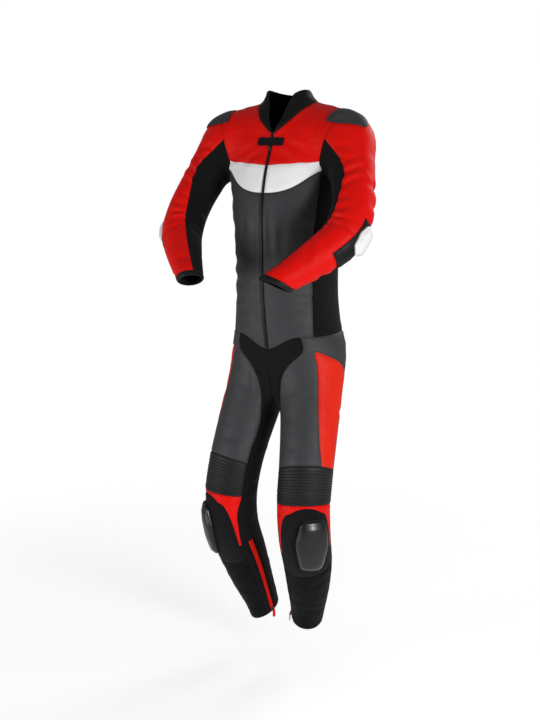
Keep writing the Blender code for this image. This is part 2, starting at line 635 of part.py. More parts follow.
def legs(leg):
    steps = np.cumsum([0, HIP_ROWS] + [row[8] for row in LEG_KEYS[:-1]])
    at = {row[0]: int(step) for row, step in zip(LEG_KEYS, steps[1:])}
    b, t, c, d, e = np.cumsum(LEG_SECTORS)
    last = leg.shape[1] - 1
    zip_col = last - 4
    side_top = 1
    both("thigh_front", leg, [(0, at["ribs_top"], 0, t), (0, side_top, t, d)], LEATHER, "charcoal leather")
    both("thigh_side", leg, [(side_top, at["ribs_top"], t, d)], LEATHER, "red leather")
    both("thigh_back", leg, [(0, at["ribs_foot"], d, e)], LEATHER, "charcoal leather", gap=0.25 * MM)
    arch, tip, hem = at["arch"], at["tip"], at["hem"]
    both("leg_inner", leg, [(0, tip, e, last), (tip, hem, e, zip_col), (tip, hem, zip_col + 2, last)],
         STRETCH, "black stretch", gap=0.3 * MM)
    both("calf_zip", leg, [(tip, hem, zip_col, zip_col + 2)], STRETCH, "red leather")
    both("knee_surround", leg, [(at["ribs_foot"], arch, 0, d), (arch, tip, 0, b), (arch, tip, c, d)],
         LEATHER, "red leather")
    both("knee_panel", leg, [(arch, tip, b, c), (tip, at["knee_foot"], 0, d)], STRETCH, "black stretch")
    both("shin", leg, [(at["knee_foot"], at["hem"], 0, d)], LEATHER, "black leather")
    both("calf_back", leg, [(at["ribs_foot"], at["hem"], d, e)], LEATHER, "black leather")
    rows = at["ribs_foot"] - at["ribs_top"]
    parts = -(-2 * RIDGES // rows)
    ribbed = finer(leg[at["ribs_top"] : at["ribs_foot"] + 1, : d + 1], parts)
    ridges = np.zeros(ribbed.shape[:2])
    ridges[1::2] = RIDGE_HEIGHT
    ridges[-1] = 0
    both("knee_ribs", ribbed, [(0, len(ribbed) - 1, 0, d)], LEATHER, "black leather", ridges=ridges)
    knee = leg_point(-1.013, 47)[0]
    laid("knee_slider", knee, (0, 0, 1), (0.096, 0.137), (6, 8), "black plastic",
         (STRETCH / 2 + 1.4 * LAID_GAP, 9 * MM, 14 * MM), rounding=0.45, taper=0.2, wedge=0.08)
    zip_foot(leg[hem - 1 : hem + 1, zip_col + 1])


def prism(name, outline, place, axes, depth, colour):
    """A flat piece of a given outline, on both legs: outline along the first two axes."""
    across, along, out = axes
    face = place + np.array([x * across + y * along for x, y in outline]) * MM
    points = np.concatenate([face + out * depth / 2, face - out * depth / 2])
    n = len(outline)
    faces = [tuple(range(n)), tuple(2 * n - 1 - k for k in range(n))]
    faces += [((k + 1) % n, k, n + k, n + (k + 1) % n) for k in range(n)]
    solid(name + "_left", points, faces, colour)
    solid(name + "_right", points * np.array([-1, 1, 1]), faces, colour)


def zip_foot(line):
    """The slider of a closed calf zip at the hem, and the pull tab that hangs from it."""
    facing = normals(line[1:])[0]
    down = unit(line[1] - line[0])
    down = unit(down - (down @ facing) * facing)
    across = np.cross(down, facing)
    lift = STRETCH / 2 + LAID_GAP + SLIDER_DEPTH / 2
    middle = line[1] - down * 5 * MM + facing * lift
    prism("zip_slider", SLIDER_OUTLINE, middle, (across, down, facing), SLIDER_DEPTH, "dark metal")
    level = unit(np.cross(np.array([0.0, 0.0, 1.0]), facing))
    out = unit(np.cross(level, np.array([0.0, 0.0, -1.0])))
    out = out if out @ facing > 0 else -out
    hinge = middle + facing * (SLIDER_DEPTH / 2 + 1.6 * MM)
    prism("zip_pull", PULL_OUTLINE, hinge, (level, np.array([0.0, 0.0, -1.0]), out), PULL_DEPTH, "red leather")


def main():
    for old in list(bpy.data.objects):
        bpy.data.objects.remove(old)
    front, side, back = torso_net()
    torso(front, side, back)
    collar(front, back)
    sleeves(arm_net(front, back, side))
    legs(leg_net(front, side, back))


MATERIALS = {
    "red leather": material("red leather", (0.60, 0.012, 0.006), 0.45),
    "white leather": material("white leather", (0.80, 0.80, 0.80), 0.5),
    "charcoal leather": material("charcoal leather", (0.045, 0.045, 0.047), 0.5),
    "black leather": material("black leather", (0.012, 0.012, 0.013), 0.5),
    "black stretch": material("black stretch", (0.008, 0.008, 0.009), 0.85),
    "black plastic": material("black plastic", (0.02, 0.02, 0.022), 0.3),
    "dark metal": material("dark metal", (0.15, 0.15, 0.16), 0.35, 1.0),
    "white plastic": material("white plastic", (0.75, 0.75, 0.75), 0.3),
}
main()
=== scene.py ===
"""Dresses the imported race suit: leather and stretch cloth, sewing, zips, hard pieces and a stage.

The suit's solids are loaded as a fixed frame. Every cloth panel is made again as a thin shell in
fine cells on the same body form and the same net of seams, with its creases, rolled edges and
topstitching. The net and the form repeat the part's own sizes, in metres.
"""

import math

import bpy
import numpy as np
from bpy.props import FloatProperty, FloatVectorProperty, PointerProperty
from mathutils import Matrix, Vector, kdtree
from mathutils.bvhtree import BVHTree


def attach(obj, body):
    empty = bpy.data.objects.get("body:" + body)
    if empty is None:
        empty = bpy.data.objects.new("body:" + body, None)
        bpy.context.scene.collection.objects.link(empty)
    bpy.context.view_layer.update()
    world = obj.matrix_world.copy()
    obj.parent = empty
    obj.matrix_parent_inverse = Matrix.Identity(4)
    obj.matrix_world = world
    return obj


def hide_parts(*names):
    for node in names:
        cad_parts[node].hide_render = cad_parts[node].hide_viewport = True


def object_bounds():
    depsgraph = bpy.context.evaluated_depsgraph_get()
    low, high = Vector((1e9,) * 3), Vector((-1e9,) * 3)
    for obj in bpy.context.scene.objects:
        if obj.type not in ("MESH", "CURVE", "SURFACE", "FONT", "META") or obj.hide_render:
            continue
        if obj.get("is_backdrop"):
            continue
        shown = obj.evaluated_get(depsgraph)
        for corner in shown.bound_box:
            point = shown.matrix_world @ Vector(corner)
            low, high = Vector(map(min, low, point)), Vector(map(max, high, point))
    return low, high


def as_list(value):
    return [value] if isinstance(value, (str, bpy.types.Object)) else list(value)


bl_info = {
    "name": "Race suit dresser",
    "version": (1, 0, 0),
    "blender": (4, 5, 0),
    "location": "View3D > Sidebar > Race suit",
    "description": "Dresses the race suit's solids in leather, stretch cloth, sewing, zips and plastic",
    "category": "Object",
}

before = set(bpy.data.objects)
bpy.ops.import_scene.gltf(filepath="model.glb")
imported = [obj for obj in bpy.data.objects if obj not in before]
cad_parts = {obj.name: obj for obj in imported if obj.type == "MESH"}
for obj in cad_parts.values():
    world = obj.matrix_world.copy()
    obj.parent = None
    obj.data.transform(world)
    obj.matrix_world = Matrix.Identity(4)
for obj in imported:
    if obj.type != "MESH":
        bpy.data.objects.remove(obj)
CAD_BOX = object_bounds()

MM = 0.001
DEG = math.pi / 180

# Walls, and half the width of the front zip
LEATHER = 2.0 * MM
STRETCH = 1.6 * MM
COLLAR_WALL = 3.0 * MM
ZIP_HALF = 3.2 * MM

# Segments across each block of the net
FRONT_COLS = 9
SIDE_COLS = 4
BACK_COLS = 7
NECK_COLS = 6
CROTCH_BACK_COLS = 3
CROTCH_FRONT_COLS = 3
WING_COL = 7
PEAK_COL = 4
SLEEVE_COLS = (4, 4, 4)
COLLAR_ROWS = 3

# Body form ---------------------------------------------------------------------------
# height, half width, depth in front, depth behind
TORSO_SECTIONS = (
    (-0.720, 0.100, 0.064, 0.080),
    (-0.640, 0.122, 0.088, 0.104),
    (-0.550, 0.133, 0.104, 0.110),
    (-0.430, 0.121, 0.122, 0.112),
    (-0.310, 0.122, 0.126, 0.117),
    (-0.200, 0.132, 0.124, 0.121),
    (-0.120, 0.146, 0.104, 0.119),
    (-0.040, 0.148, 0.066, 0.102),
)
TORSO_SQUARENESS = 2.35
TORSO_TOP = -0.032
TORSO_BOTTOM = -0.705

# Chains of round sections: x, y, z, radius
YOKE_FORM = ((0.000, 0.016, -0.040, 0.077), (0.100, 0.011, -0.047, 0.074), (0.165, 0.000, -0.060, 0.063))
NECK_FORM = ((0.000, 0.013, -0.030, 0.069), (0.000, 0.007, 0.030, 0.059), (0.000, 0.004, 0.110, 0.036))
ARM_FORM = (
    (0.148, -0.002, -0.060, 0.060),
    (0.180, -0.022, -0.090, 0.056),
    (0.210, -0.060, -0.158, 0.050),
    (0.228, -0.104, -0.232, 0.049),
    (0.219, -0.142, -0.280, 0.049),
    (0.183, -0.188, -0.319, 0.043),
    (0.142, -0.232, -0.355, 0.035),
    (0.110, -0.265, -0.379, 0.030),
    (0.091, -0.284, -0.393, 0.028),
)
LEG_FORM = (
    (0.062, 0.010, -0.580, 0.081),
    (0.078, -0.020, -0.670, 0.075),
    (0.091, -0.054, -0.760, 0.069),
    (0.101, -0.086, -0.850, 0.065),
    (0.105, -0.106, -0.940, 0.063),
    (0.104, -0.098, -1.020, 0.062),
    (0.097, -0.070, -1.090, 0.059),
    (0.084, -0.042, -1.170, 0.051),
    (0.069, -0.018, -1.240, 0.041),
    (0.060, -0.008, -1.285, 0.037),
)
LEG_DEPTH_RATIO = 1.06
BLEND_TORSO_ENDS = 0.05
BLEND_YOKE, BLEND_NECK, BLEND_ARM, BLEND_LEG = 0.05, 0.03, 0.028, 0.032

# The net -----------------------------------------------------------------------------
FRONT_SEAM_ANGLE, BACK_SEAM_ANGLE = 58.0, 114.0
# name, height at the zip, at the side's front seam, its back seam, the back's middle, rows
TORSO_KEYS = (
    ("hip", -0.557, -0.524, -0.520, -0.520, 2),
    ("low_waist", -0.480, -0.465, -0.462, -0.465, 2),
    ("waist", -0.400, -0.395, -0.392, -0.395, 3),
    ("ribs", -0.300, -0.290, -0.288, -0.290, 4),
)
# Armhole seam from the band's foot, its top, the sleeve panel's peak and the slope, to the shoulder
ARMHOLE_FRONT = (
    (0.132, -0.086, -0.129), (0.127, -0.092, -0.106), (0.140, -0.075, -0.052), (0.156, -0.048, -0.012),
    (0.170, 0.000, 0.006),
)
ARMHOLE_BACK = (
    (0.140, 0.068, -0.136), (0.140, 0.096, -0.095), (0.148, 0.084, -0.045), (0.158, 0.052, -0.012),
    (0.170, 0.000, 0.006),
)
ARMHOLE_STEPS = (2, 2, 3, 2)
ARMPIT = (0.148, -0.010, -0.150)
ZIP_HEIGHTS = (-0.178, -0.114, -0.078, -0.058, -0.040)
BACK_HEIGHTS = (-0.142, -0.092, -0.040, 0.000, 0.032)
FRONT_BOW = (2.5, 1.0, 1.0, 1.0)
# How fast the rows below the chest rise from the zip to the side's height, and how far round the
# rows above are led before they turn to the armhole
FRONT_RISE, FRONT_SWEEP = 1.35, 0.85
# The neck's seam in front, the shoulder's and the neck's behind, each through these points
NECK_SIDE = (0.080, 0.004, 0.038)
NECK_FRONT = ((0.000, -0.090, ZIP_HEIGHTS[-1]), (0.040, -0.070, -0.006), (0.068, -0.034, 0.026), NECK_SIDE)
SHOULDER = (NECK_SIDE, (0.125, 0.001, 0.024), ARMHOLE_FRONT[-1])
NECK_BACK = (NECK_SIDE, (0.060, 0.048, 0.034), (0.000, 0.068, BACK_HEIGHTS[-1]))
BLADE_FULLNESS = np.array([0.0, 0.02, 0.0])
COLLAR_TOP = (
    (0.000, -0.092, -0.034), (0.017, -0.078, -0.004), (0.030, -0.060, 0.031), (0.045, -0.033, 0.060),
    (0.053, 0.002, 0.065), (0.034, 0.048, 0.056), (0.000, 0.062, 0.052),
)

# Sleeve rings: share of the arm's length, front seam, patch front, patch back, back seam, rows,
# and how far the ring leans towards the hand along the top of the arm, mm
ARM_KEYS = (
    ("upper", 0.23, 114, 40, -30, -84, 3, 0),
    ("biceps", 0.34, 130, 44, -34, -100, 2, 0),
    ("patch_top", 0.450, 142, 40, -32, -112, 2, 0),
    ("elbow", 0.535, 146, 47, -36, -118, 2, 0),
    ("patch_foot", 0.650, 148, 50, -36, -126, 3, 0),
    ("forearm", 0.77, 148, 44, -40, -130, 2, 6),
    ("wrist", 0.903, 148, 44, -44, -132, 1, 20),
    ("cuff", 0.935, 148, 42, -44, -132, 0, 22),
)
FAN_ROWS = 4

# Leg rings: height of the ring's middle, then the angles of the inner front seam, the knee
# panel's inner edge, the thigh side's front seam, the knee panel's outer edge, the outer back
# seam and the inner back seam, rows, and how far the ring bows up at its front and at its outside
LEG_KEYS = (
    ("fork", -0.745, -56, -26, 48, 92, 118, 214, 2, 0, 0),
    ("thigh", -0.815, -56, -30, 57, 98, 118, 220, 1, 2, 3),
    ("ribs_top", -0.850, -56, -32, 64, 102, 118, 224, 3, 3, 4),
    ("ribs_foot", -0.930, -56, -32, 52, 102, 118, 224, 1, 2, 2),
    ("arch", -0.946, -50, 6, 34, 66, 117, 223, 1, 13, 2),
    ("bend", -0.959, -48, -16, 35, 89, 117, 223, 1, 12, 1),
    ("shoulder", -0.986, -45, -31, 36, 102, 116, 222, 1, 9, 0),
    ("tip", -1.045, -42, -37, 38, 108, 114, 218, 1, 0, 0),
    ("knee_foot", -1.090, -42, -30, 36, 98, 114, 214, 2, 0, 0),
    ("calf", -1.175, -42, -28, 34, 94, 114, 212, 3, -4, 0),
    ("hem", -1.266, -38, -26, 30, 92, 112, 212, 0, -9, 0),
)
LEG_SECTORS = (1, 4, 2, 1, 6)
# The knee panel's domed top: its middle and half width in degrees, and how far it falls, mm. The
# rings bow up at the kneecap, which looks a little outwards
ARCH_MIDDLE, ARCH_HALF, ARCH_FALL = 36, 30, 5.5
BOW_MIDDLE = 37
# The calf zip's tape: its two columns of a leg ring, and how far they draw in, as a share of a segment
ZIP_COLS, ZIP_TAPE = [-5, -3], 0.3
HIP_ROWS = 5
# The middle of the crotch, from the back seam down and up again to the zip's foot
CROTCH_BEHIND = ((0.000, 0.118, -0.620), (0.000, 0.080, -0.700), (0.000, 0.020, -0.722))
CROTCH_AHEAD = ((0.000, -0.050, -0.705), (0.000, -0.088, -0.640))
# How many columns the crotch panel's front seam draws along with it
WING_REACH = 2.5
# Rows between the hip seam and the fork: share of the way down, and the same at the outer back
# seam, how far the crotch panel's front seam stands from the middle, and the thigh side's front
# seam as a share of the way round from there to the outer back seam
HIP_KEYS = ((0.16, 0.46, 0.092, 0.20), (0.34, 0.58, 0.052, 0.37), (0.52, 0.70, 0.033, 0.47))
RIDGES, RIDGE_HEIGHT = 14, 2.0 * MM
CUP_PLACE = (0.189, -0.024, 0.001)

# Maths -------------------------------------------------------------------------------
def cubic(keys, at):
    """Values at `at` on a smooth curve through rows of (position, values...)."""
    keys = np.asarray(keys, float)
    x, y = keys[:, 0], keys[:, 1:]
    slope = np.gradient(y, x, axis=0)
    at = np.clip(np.asarray(at, float), x[0], x[-1])
    i = np.clip(np.searchsorted(x, at, side="right") - 1, 0, len(x) - 2)
    h = (x[i + 1] - x[i])[..., None]
    t = ((at - x[i]) / (x[i + 1] - x[i]))[..., None]
    return (
        (2 * t**3 - 3 * t**2 + 1) * y[i]
        + (t**3 - 2 * t**2 + t) * h * slope[i]
        + (3 * t**2 - 2 * t**3) * y[i + 1]
        + (t**3 - t**2) * h * slope[i + 1]
    )


def unit(v):
    return v / np.maximum(np.linalg.norm(v, axis=-1, keepdims=True), 1e-12)


def run_along(points):
    """How far along a line each of its points is."""
    return np.concatenate([[0], np.cumsum(np.linalg.norm(np.diff(points, axis=0), axis=1))])


def read_along(points, run, at):
    """A line's points, or other values at its points, read at places along its run."""
    return np.column_stack([np.interp(at, run, points[:, k]) for k in range(3)])


def chain_samples(rows, count):
    """A chain of round sections, read as `count` points on a smooth curve."""
    rows = np.asarray(rows, float)
    run = run_along(rows[:, :3])
    return cubic(np.column_stack([run / run[-1], rows]), np.linspace(0, 1, count))


def smooth_min(a, b, radius):
    """The lesser of two distances, with the crease between them filled over a radius."""
    share = np.clip(0.5 + 0.5 * (b - a) / radius, 0, 1)
    return b + (a - b) * share - radius * share * (1 - share)


def smooth_max(a, b, radius):
    return -smooth_min(-a, -b, radius)


def chain_distance(p, samples):
    """Distance to the skin of a chain of round sections."""
    a, b = samples[:-1], samples[1:]
    d = b[:, :3] - a[:, :3]
    w = p[:, None, :] - a[None, :, :3]
    t = np.clip((w * d).sum(-1) / (d * d).sum(-1), 0, 1)
    near = np.linalg.norm(w - t[..., None] * d, axis=-1)
    return (near - (a[:, 3] + t * (b[:, 3] - a[:, 3]))).min(axis=1)


YOKE, NECK = chain_samples(YOKE_FORM, 8), chain_samples(NECK_FORM, 8)
ARM, LEG = chain_samples(ARM_FORM, 25), chain_samples(LEG_FORM, 25)
LEG_SQUASHED = LEG * np.array([1, 1 / LEG_DEPTH_RATIO, 1, 1])


def torso_distance(p):
    """Distance, near enough, to the skin of a torso with rounded square sections."""
    half_width, front, behind = cubic(TORSO_SECTIONS, p[:, 2]).T
    depth = np.where(p[:, 1] < 0, front, behind)
    n = TORSO_SQUARENESS
    reach = (np.abs(p[:, 0] / half_width) ** n + np.abs(p[:, 1] / depth) ** n) ** (1 / n)
    side = (reach - 1) * np.minimum(half_width, depth)
    ends = np.maximum(p[:, 2] - TORSO_TOP, TORSO_BOTTOM - p[:, 2])
    return smooth_max(side, ends, BLEND_TORSO_ENDS)


def form(p):
    """Signed distance, near enough, from the body form's skin: below zero inside."""
    p = np.column_stack([np.abs(p[:, 0]), p[:, 1], p[:, 2]])
    skin = smooth_min(torso_distance(p), chain_distance(p, YOKE), BLEND_YOKE)
    squashed = p * np.array([1, 1 / LEG_DEPTH_RATIO, 1])
    skin = smooth_min(skin, chain_distance(squashed, LEG_SQUASHED), BLEND_LEG)
    skin = smooth_min(skin, chain_distance(p, NECK), BLEND_NECK)
    return smooth_min(skin, chain_distance(p, ARM), BLEND_ARM)


def slope(p):
    """Which way the form's distance grows, and how fast."""
    step = 0.5 * MM
    return np.column_stack([(form(p + way) - form(p - way)) / (2 * step) for way in np.eye(3) * step])


def onto_form(points, passes=8):
    """The points moved onto the body form's skin."""
    shape = np.shape(points)
    p = np.array(points, float).reshape(-1, 3)
    for _ in range(passes):
        g = slope(p)
        p = p - (form(p) / np.maximum((g * g).sum(-1), 0.05))[:, None] * g
    return p.reshape(shape)


def normals(points):
    return unit(slope(np.reshape(points, (-1, 3)))).reshape(np.shape(points))


def from_axis(origin, direction):
    """Where rays from inside the form first leave it."""
    origin, direction = np.broadcast_arrays(np.atleast_2d(origin), unit(np.atleast_2d(direction)))
    run = np.full(len(origin), 0.005)
    for _ in range(40):
        run = run - 0.8 * form(origin + run[:, None] * direction)
    return origin + run[:, None] * direction


def evenly(points, count, first=0.0):
    """The same line in `count` even segments, or a first one of its own length and the rest even."""
    points = np.asarray(points, float)
    run = run_along(points)
    at = np.linspace(0, run[-1], count + 1)
    if first:
        at = np.concatenate([[0], np.linspace(first, run[-1], count)])
    return read_along(points, run, at)


def line_on_form(keys, count, first=0.0):
    """A smooth line through key points, laid on the form."""
    keys = np.asarray(keys, float)
    run = run_along(keys)
    fine = cubic(np.column_stack([run, keys]), np.linspace(0, run[-1], 40))
    return onto_form(evenly(onto_form(fine), count, first))


# Charts ------------------------------------------------------------------------------
def torso_ray(height, angle):
    """Out of the torso's axis at a height, and the way out at an angle from the front."""
    return np.array([0, 0, height]), np.array([math.sin(angle * DEG), -math.cos(angle * DEG), 0.0])


def torso_point(height, angle):
    """On the torso's skin: angle 0 in front, 90 to the wearer's left."""
    height, angle = np.atleast_1d(*np.broadcast_arrays(height, angle))
    origins, ways = zip(*map(torso_ray, height, angle))
    return from_axis(np.array(origins), np.array(ways))


def limb_frame(samples, share, side):
    """Place, and the two directions across, of a limb's centre line at a share of its length."""
    near = [max(share - 0.03, 0), share, min(share + 0.03, 1)]
    before, place, after = read_along(samples, np.linspace(0, 1, len(samples)), near)
    ahead = unit(after - before)
    across = unit(side - (side @ ahead) * ahead)
    return place, across, np.cross(across, ahead)


def arm_plane():
    """The direction out of the plane in which the arm bends, towards the front."""
    shoulder, elbow, wrist = ARM[5, :3], ARM[14, :3], ARM[-1, :3]
    return -unit(np.cross(elbow - shoulder, wrist - elbow))


ARM_FRONT = arm_plane()
ARM_LENGTH = np.linalg.norm(np.diff(ARM[:, :3], axis=0), axis=1).sum()
ARM_TOP = 149.0


def arm_ray(share, angle):
    """Out of the arm's centre line at a share of its length, and the way out at an angle."""
    place, front, out = limb_frame(ARM, share, ARM_FRONT)
    return place, math.cos(angle * DEG) * out + math.sin(angle * DEG) * front


def arm_point(share, angle, lean=0.0):
    """On a sleeve: angle 0 at the elbow's side, 90 in front; `lean` tips the ring, in mm."""
    angle = np.atleast_1d(angle)
    shift = lean * MM * np.cos((angle - ARM_TOP) * DEG) / ARM_LENGTH
    return np.array([from_axis(*arm_ray(share + step, turn))[0] for turn, step in zip(angle, shift)])


def leg_ray(height, angle):
    """Out of the leg's centre line at a height, and the way out at an angle."""
    share = np.interp(height, LEG[:, 2][::-1], np.linspace(1, 0, len(LEG)))
    place, front, out = limb_frame(LEG, share, np.array([0.0, -1.0, 0.0]))
    return place, math.cos(angle * DEG) * front + math.sin(angle * DEG) * out


def leg_point(height, angle, bow=0.0, tilt=0.0, fall=0.0):
    """On a leg: angle 0 in front, 90 outside, 270 inside.

    `bow` and `tilt` lift its front and outside, and `fall` lowers what is beside the arch's middle, mm.
    """
    angle = np.atleast_1d(angle)
    aside = (angle - ARCH_MIDDLE) / ARCH_HALF
    round_leg = angle * DEG
    rise = bow * np.cos(round_leg - BOW_MIDDLE * DEG) + tilt * np.sin(round_leg)
    rise = (rise - fall * np.minimum(aside**2, 1)) * MM
    return np.array([from_axis(*leg_ray(height + lift, turn))[0] for turn, lift in zip(angle, rise)])


def loft(key_rows, steps, passes=8):
    """Rows between the key rows, on a smooth curve through them, all laid on the form."""
    key_rows = np.asarray(key_rows, float)
    place = np.concatenate([[0], np.cumsum(steps)]).astype(float)
    flat = key_rows.reshape(len(key_rows), -1)
    rows = cubic(np.column_stack([place, flat]), np.arange(place[-1] + 1))
    return onto_form(rows.reshape(-1, *key_rows.shape[1:]), passes)


def torso_net():
    """Blocks front, side and back of the left half, rows from the hip seam up."""
    front, side, back = [], [], []
    for _, zip_z, front_z, back_z, centre_z, _ in TORSO_KEYS:
        sweep = np.linspace(0, 1, 17)
        rise = 0.5 - 0.5 * np.cos(np.pi * np.minimum(sweep * FRONT_RISE, 1))
        front_line = torso_point(zip_z + (front_z - zip_z) * rise, FRONT_SEAM_ANGLE * sweep)
        front.append(evenly(front_line, FRONT_COLS, ZIP_HALF))
        angles = np.linspace(FRONT_SEAM_ANGLE, BACK_SEAM_ANGLE, 9)
        side.append(evenly(torso_point(np.linspace(front_z, back_z, 9), angles), SIDE_COLS))
        angles = np.linspace(BACK_SEAM_ANGLE, 180, 9)
        back.append(evenly(torso_point(np.linspace(back_z, centre_z, 9), angles), BACK_COLS))
    for height, hole, bow in zip(ZIP_HEIGHTS, ARMHOLE_FRONT, FRONT_BOW):
        turn = math.degrees(math.atan2(hole[0], -hole[1]))
        sweep = np.linspace(0, FRONT_SWEEP, 7)
        line = torso_point(height + (hole[2] - height) * sweep**bow, turn * sweep)
        front.append(line_on_form([*line, hole], FRONT_COLS, ZIP_HALF))
    neck_front = line_on_form(NECK_FRONT, NECK_COLS, ZIP_HALF)
    shoulder = line_on_form(SHOULDER, FRONT_COLS - NECK_COLS)
    neck_back = line_on_form(NECK_BACK, BACK_COLS - FRONT_COLS + NECK_COLS)
    front.append(np.concatenate([neck_front, shoulder[1:]]))
    side.append(line_on_form([ARMHOLE_FRONT[0], ARMPIT, ARMHOLE_BACK[0]], SIDE_COLS))
    for height, hole in zip(BACK_HEIGHTS, ARMHOLE_BACK[:-1]):
        middle, edge = torso_point(height, 180)[0], onto_form([hole])[0]
        via = middle * 0.5 + edge * 0.5 + BLADE_FULLNESS
        back.append(line_on_form([edge, via, middle], BACK_COLS))
    back.append(np.concatenate([shoulder[::-1], neck_back[1:]]))
    lower = [row[-1] for row in TORSO_KEYS]
    front = loft(front, lower + list(ARMHOLE_STEPS))
    back = loft(back, lower + list(ARMHOLE_STEPS))
    side = loft(side, lower)
    share = np.linspace(0, 1, SIDE_COLS + 1)[None, :, None]
    miss = (front[: len(side), -1] - side[:, 0])[:, None], (back[: len(side), 0] - side[:, -1])[:, None]
    side = onto_form(side + miss[0] * (1 - share) + miss[1] * share)
    side[:, 0], side[:, -1] = front[: len(side), -1], back[: len(side), 0]
    return front, side, back


def spread(angles, counts):
    """Angles from one seam to the next in even steps, each seam's own angle shared."""
    turns = [np.array([angles[0]], float)]
    for low, high, count in zip(angles[:-1], angles[1:], counts):
        turns.append(np.linspace(low, high, count + 1)[1:])
    return np.concatenate(turns)


def spaced(row, at):
    """The row with its first points moved along it to the given shares of their run."""
    first = row[: len(at)]
    run = run_along(first)
    moved = read_along(first, run, at * run[-1])
    return np.concatenate([moved, row[len(at) :]])


def ring_rows(keys, first, column):
    """The net's row at each named ring: `first` rows lie before, and a column counts those after each."""
    steps = np.cumsum([first] + [row[column] for row in keys[:-1]])
    return {row[0]: int(step) for row, step in zip(keys, steps)}


def arm_net(front, back, side):
    """Rings of the left sleeve, from the armhole out. Column 0 is the inner panel's front seam."""
    low = sum(row[-1] for row in TORSO_KEYS)
    hole = np.concatenate([front[low:, -1], back[low:, 0][::-1][1:], side[-1][::-1][1:-1]])
    hole = np.roll(hole, -PEAK_COL, axis=0)
    counts = (*SLEEVE_COLS, len(hole) - sum(SLEEVE_COLS))
    keys = [np.concatenate([hole, hole[:1]])]
    for _, share, a, b, c, d, _, lean in ARM_KEYS:
        keys.append(arm_point(share, spread((a, b, c, d, a - 360), counts), lean))
    return loft(keys, [FAN_ROWS] + [row[-2] for row in ARM_KEYS[:-1]])


def leg_net(front, side, back):
    """Rings of the left leg, from the hip seam and the crotch line down to the hem."""
    hip = np.concatenate([front[0], side[0][1:], back[0][1:]])
    behind = line_on_form([hip[-1], *CROTCH_BEHIND], CROTCH_BACK_COLS)
    ahead = line_on_form([behind[-1], *CROTCH_AHEAD, hip[0]], CROTCH_FRONT_COLS)
    for line in (behind, ahead):
        line[:, 0] = 0
    ring = np.concatenate([hip, behind[1:], ahead[1:-1]])
    ring = np.roll(ring, -WING_COL, axis=0)
    counts = (*LEG_SECTORS, len(ring) - sum(LEG_SECTORS))
    keys = [np.concatenate([ring, ring[:1]])]
    for name, height, a, b, c, d, e, f, _, bow, tilt in LEG_KEYS:
        angles = spread((a, b, c, d, e, f, a + 360), counts)
        angles[ZIP_COLS] = np.interp((ZIP_TAPE, 2 - ZIP_TAPE), (0, 2), angles[ZIP_COLS])
        keys.append(leg_point(height, angles, bow, tilt, ARCH_FALL if name == "arch" else 0.0))
    cols = np.arange(len(ring) + 1)
    around = np.minimum(cols, len(ring) - cols)
    near_wing = np.exp(-((around / WING_REACH) ** 2))
    _, thigh, _, seam, back_seam = np.cumsum(LEG_SECTORS)
    added = []
    for share, seam_share, x, side_edge in HIP_KEYS:
        down = share + (seam_share - share) * np.interp(cols, (thigh, seam, back_seam), (0, 1, 0))
        at = spread((0, side_edge, 1), (thigh, seam - thigh))
        upper, lower = spaced(keys[0], at), spaced(keys[1], at)
        row = upper + down[:, None] * (lower - upper)
        row[:, 0] += near_wing * (x - row[0, 0])
        added.append(onto_form(spaced(onto_form(row), at)))
    steps = [1] * len(HIP_KEYS) + [HIP_ROWS - len(HIP_KEYS)] + [row[-3] for row in LEG_KEYS[:-1]]
    return loft([keys[0], *added, *keys[1:]], steps)


# Fine cells ---------------------------------------------------------------------------
# Fine lines in each segment of the net, close to its own lines, where the seams are
LINES = (0.0, 0.12, 0.37, 0.63, 0.88)
PARTS = len(LINES)
MIRROR = np.array([-1.0, 1.0, 1.0])
UP = (0, 0, 1)
# The panels' own lengths across and along, in metres, for patterns that follow the cut
CUT = "cut"
SEAM = 0.05 * MM
SEAM_DIP, SEAM_DIP_WIDTH = 1.7 * MM, 2.4 * MM
SEAM_SWELL, SEAM_SWELL_PLACE, SEAM_SWELL_WIDTH = 0.5 * MM, 7.0 * MM, 5.0 * MM
# The least share by which a pointed corner's edges draw in together, and the least share of its
# box that a panel's cut fills
SHARPEST_CORNER = 0.4
LEAST_FILL = 0.32

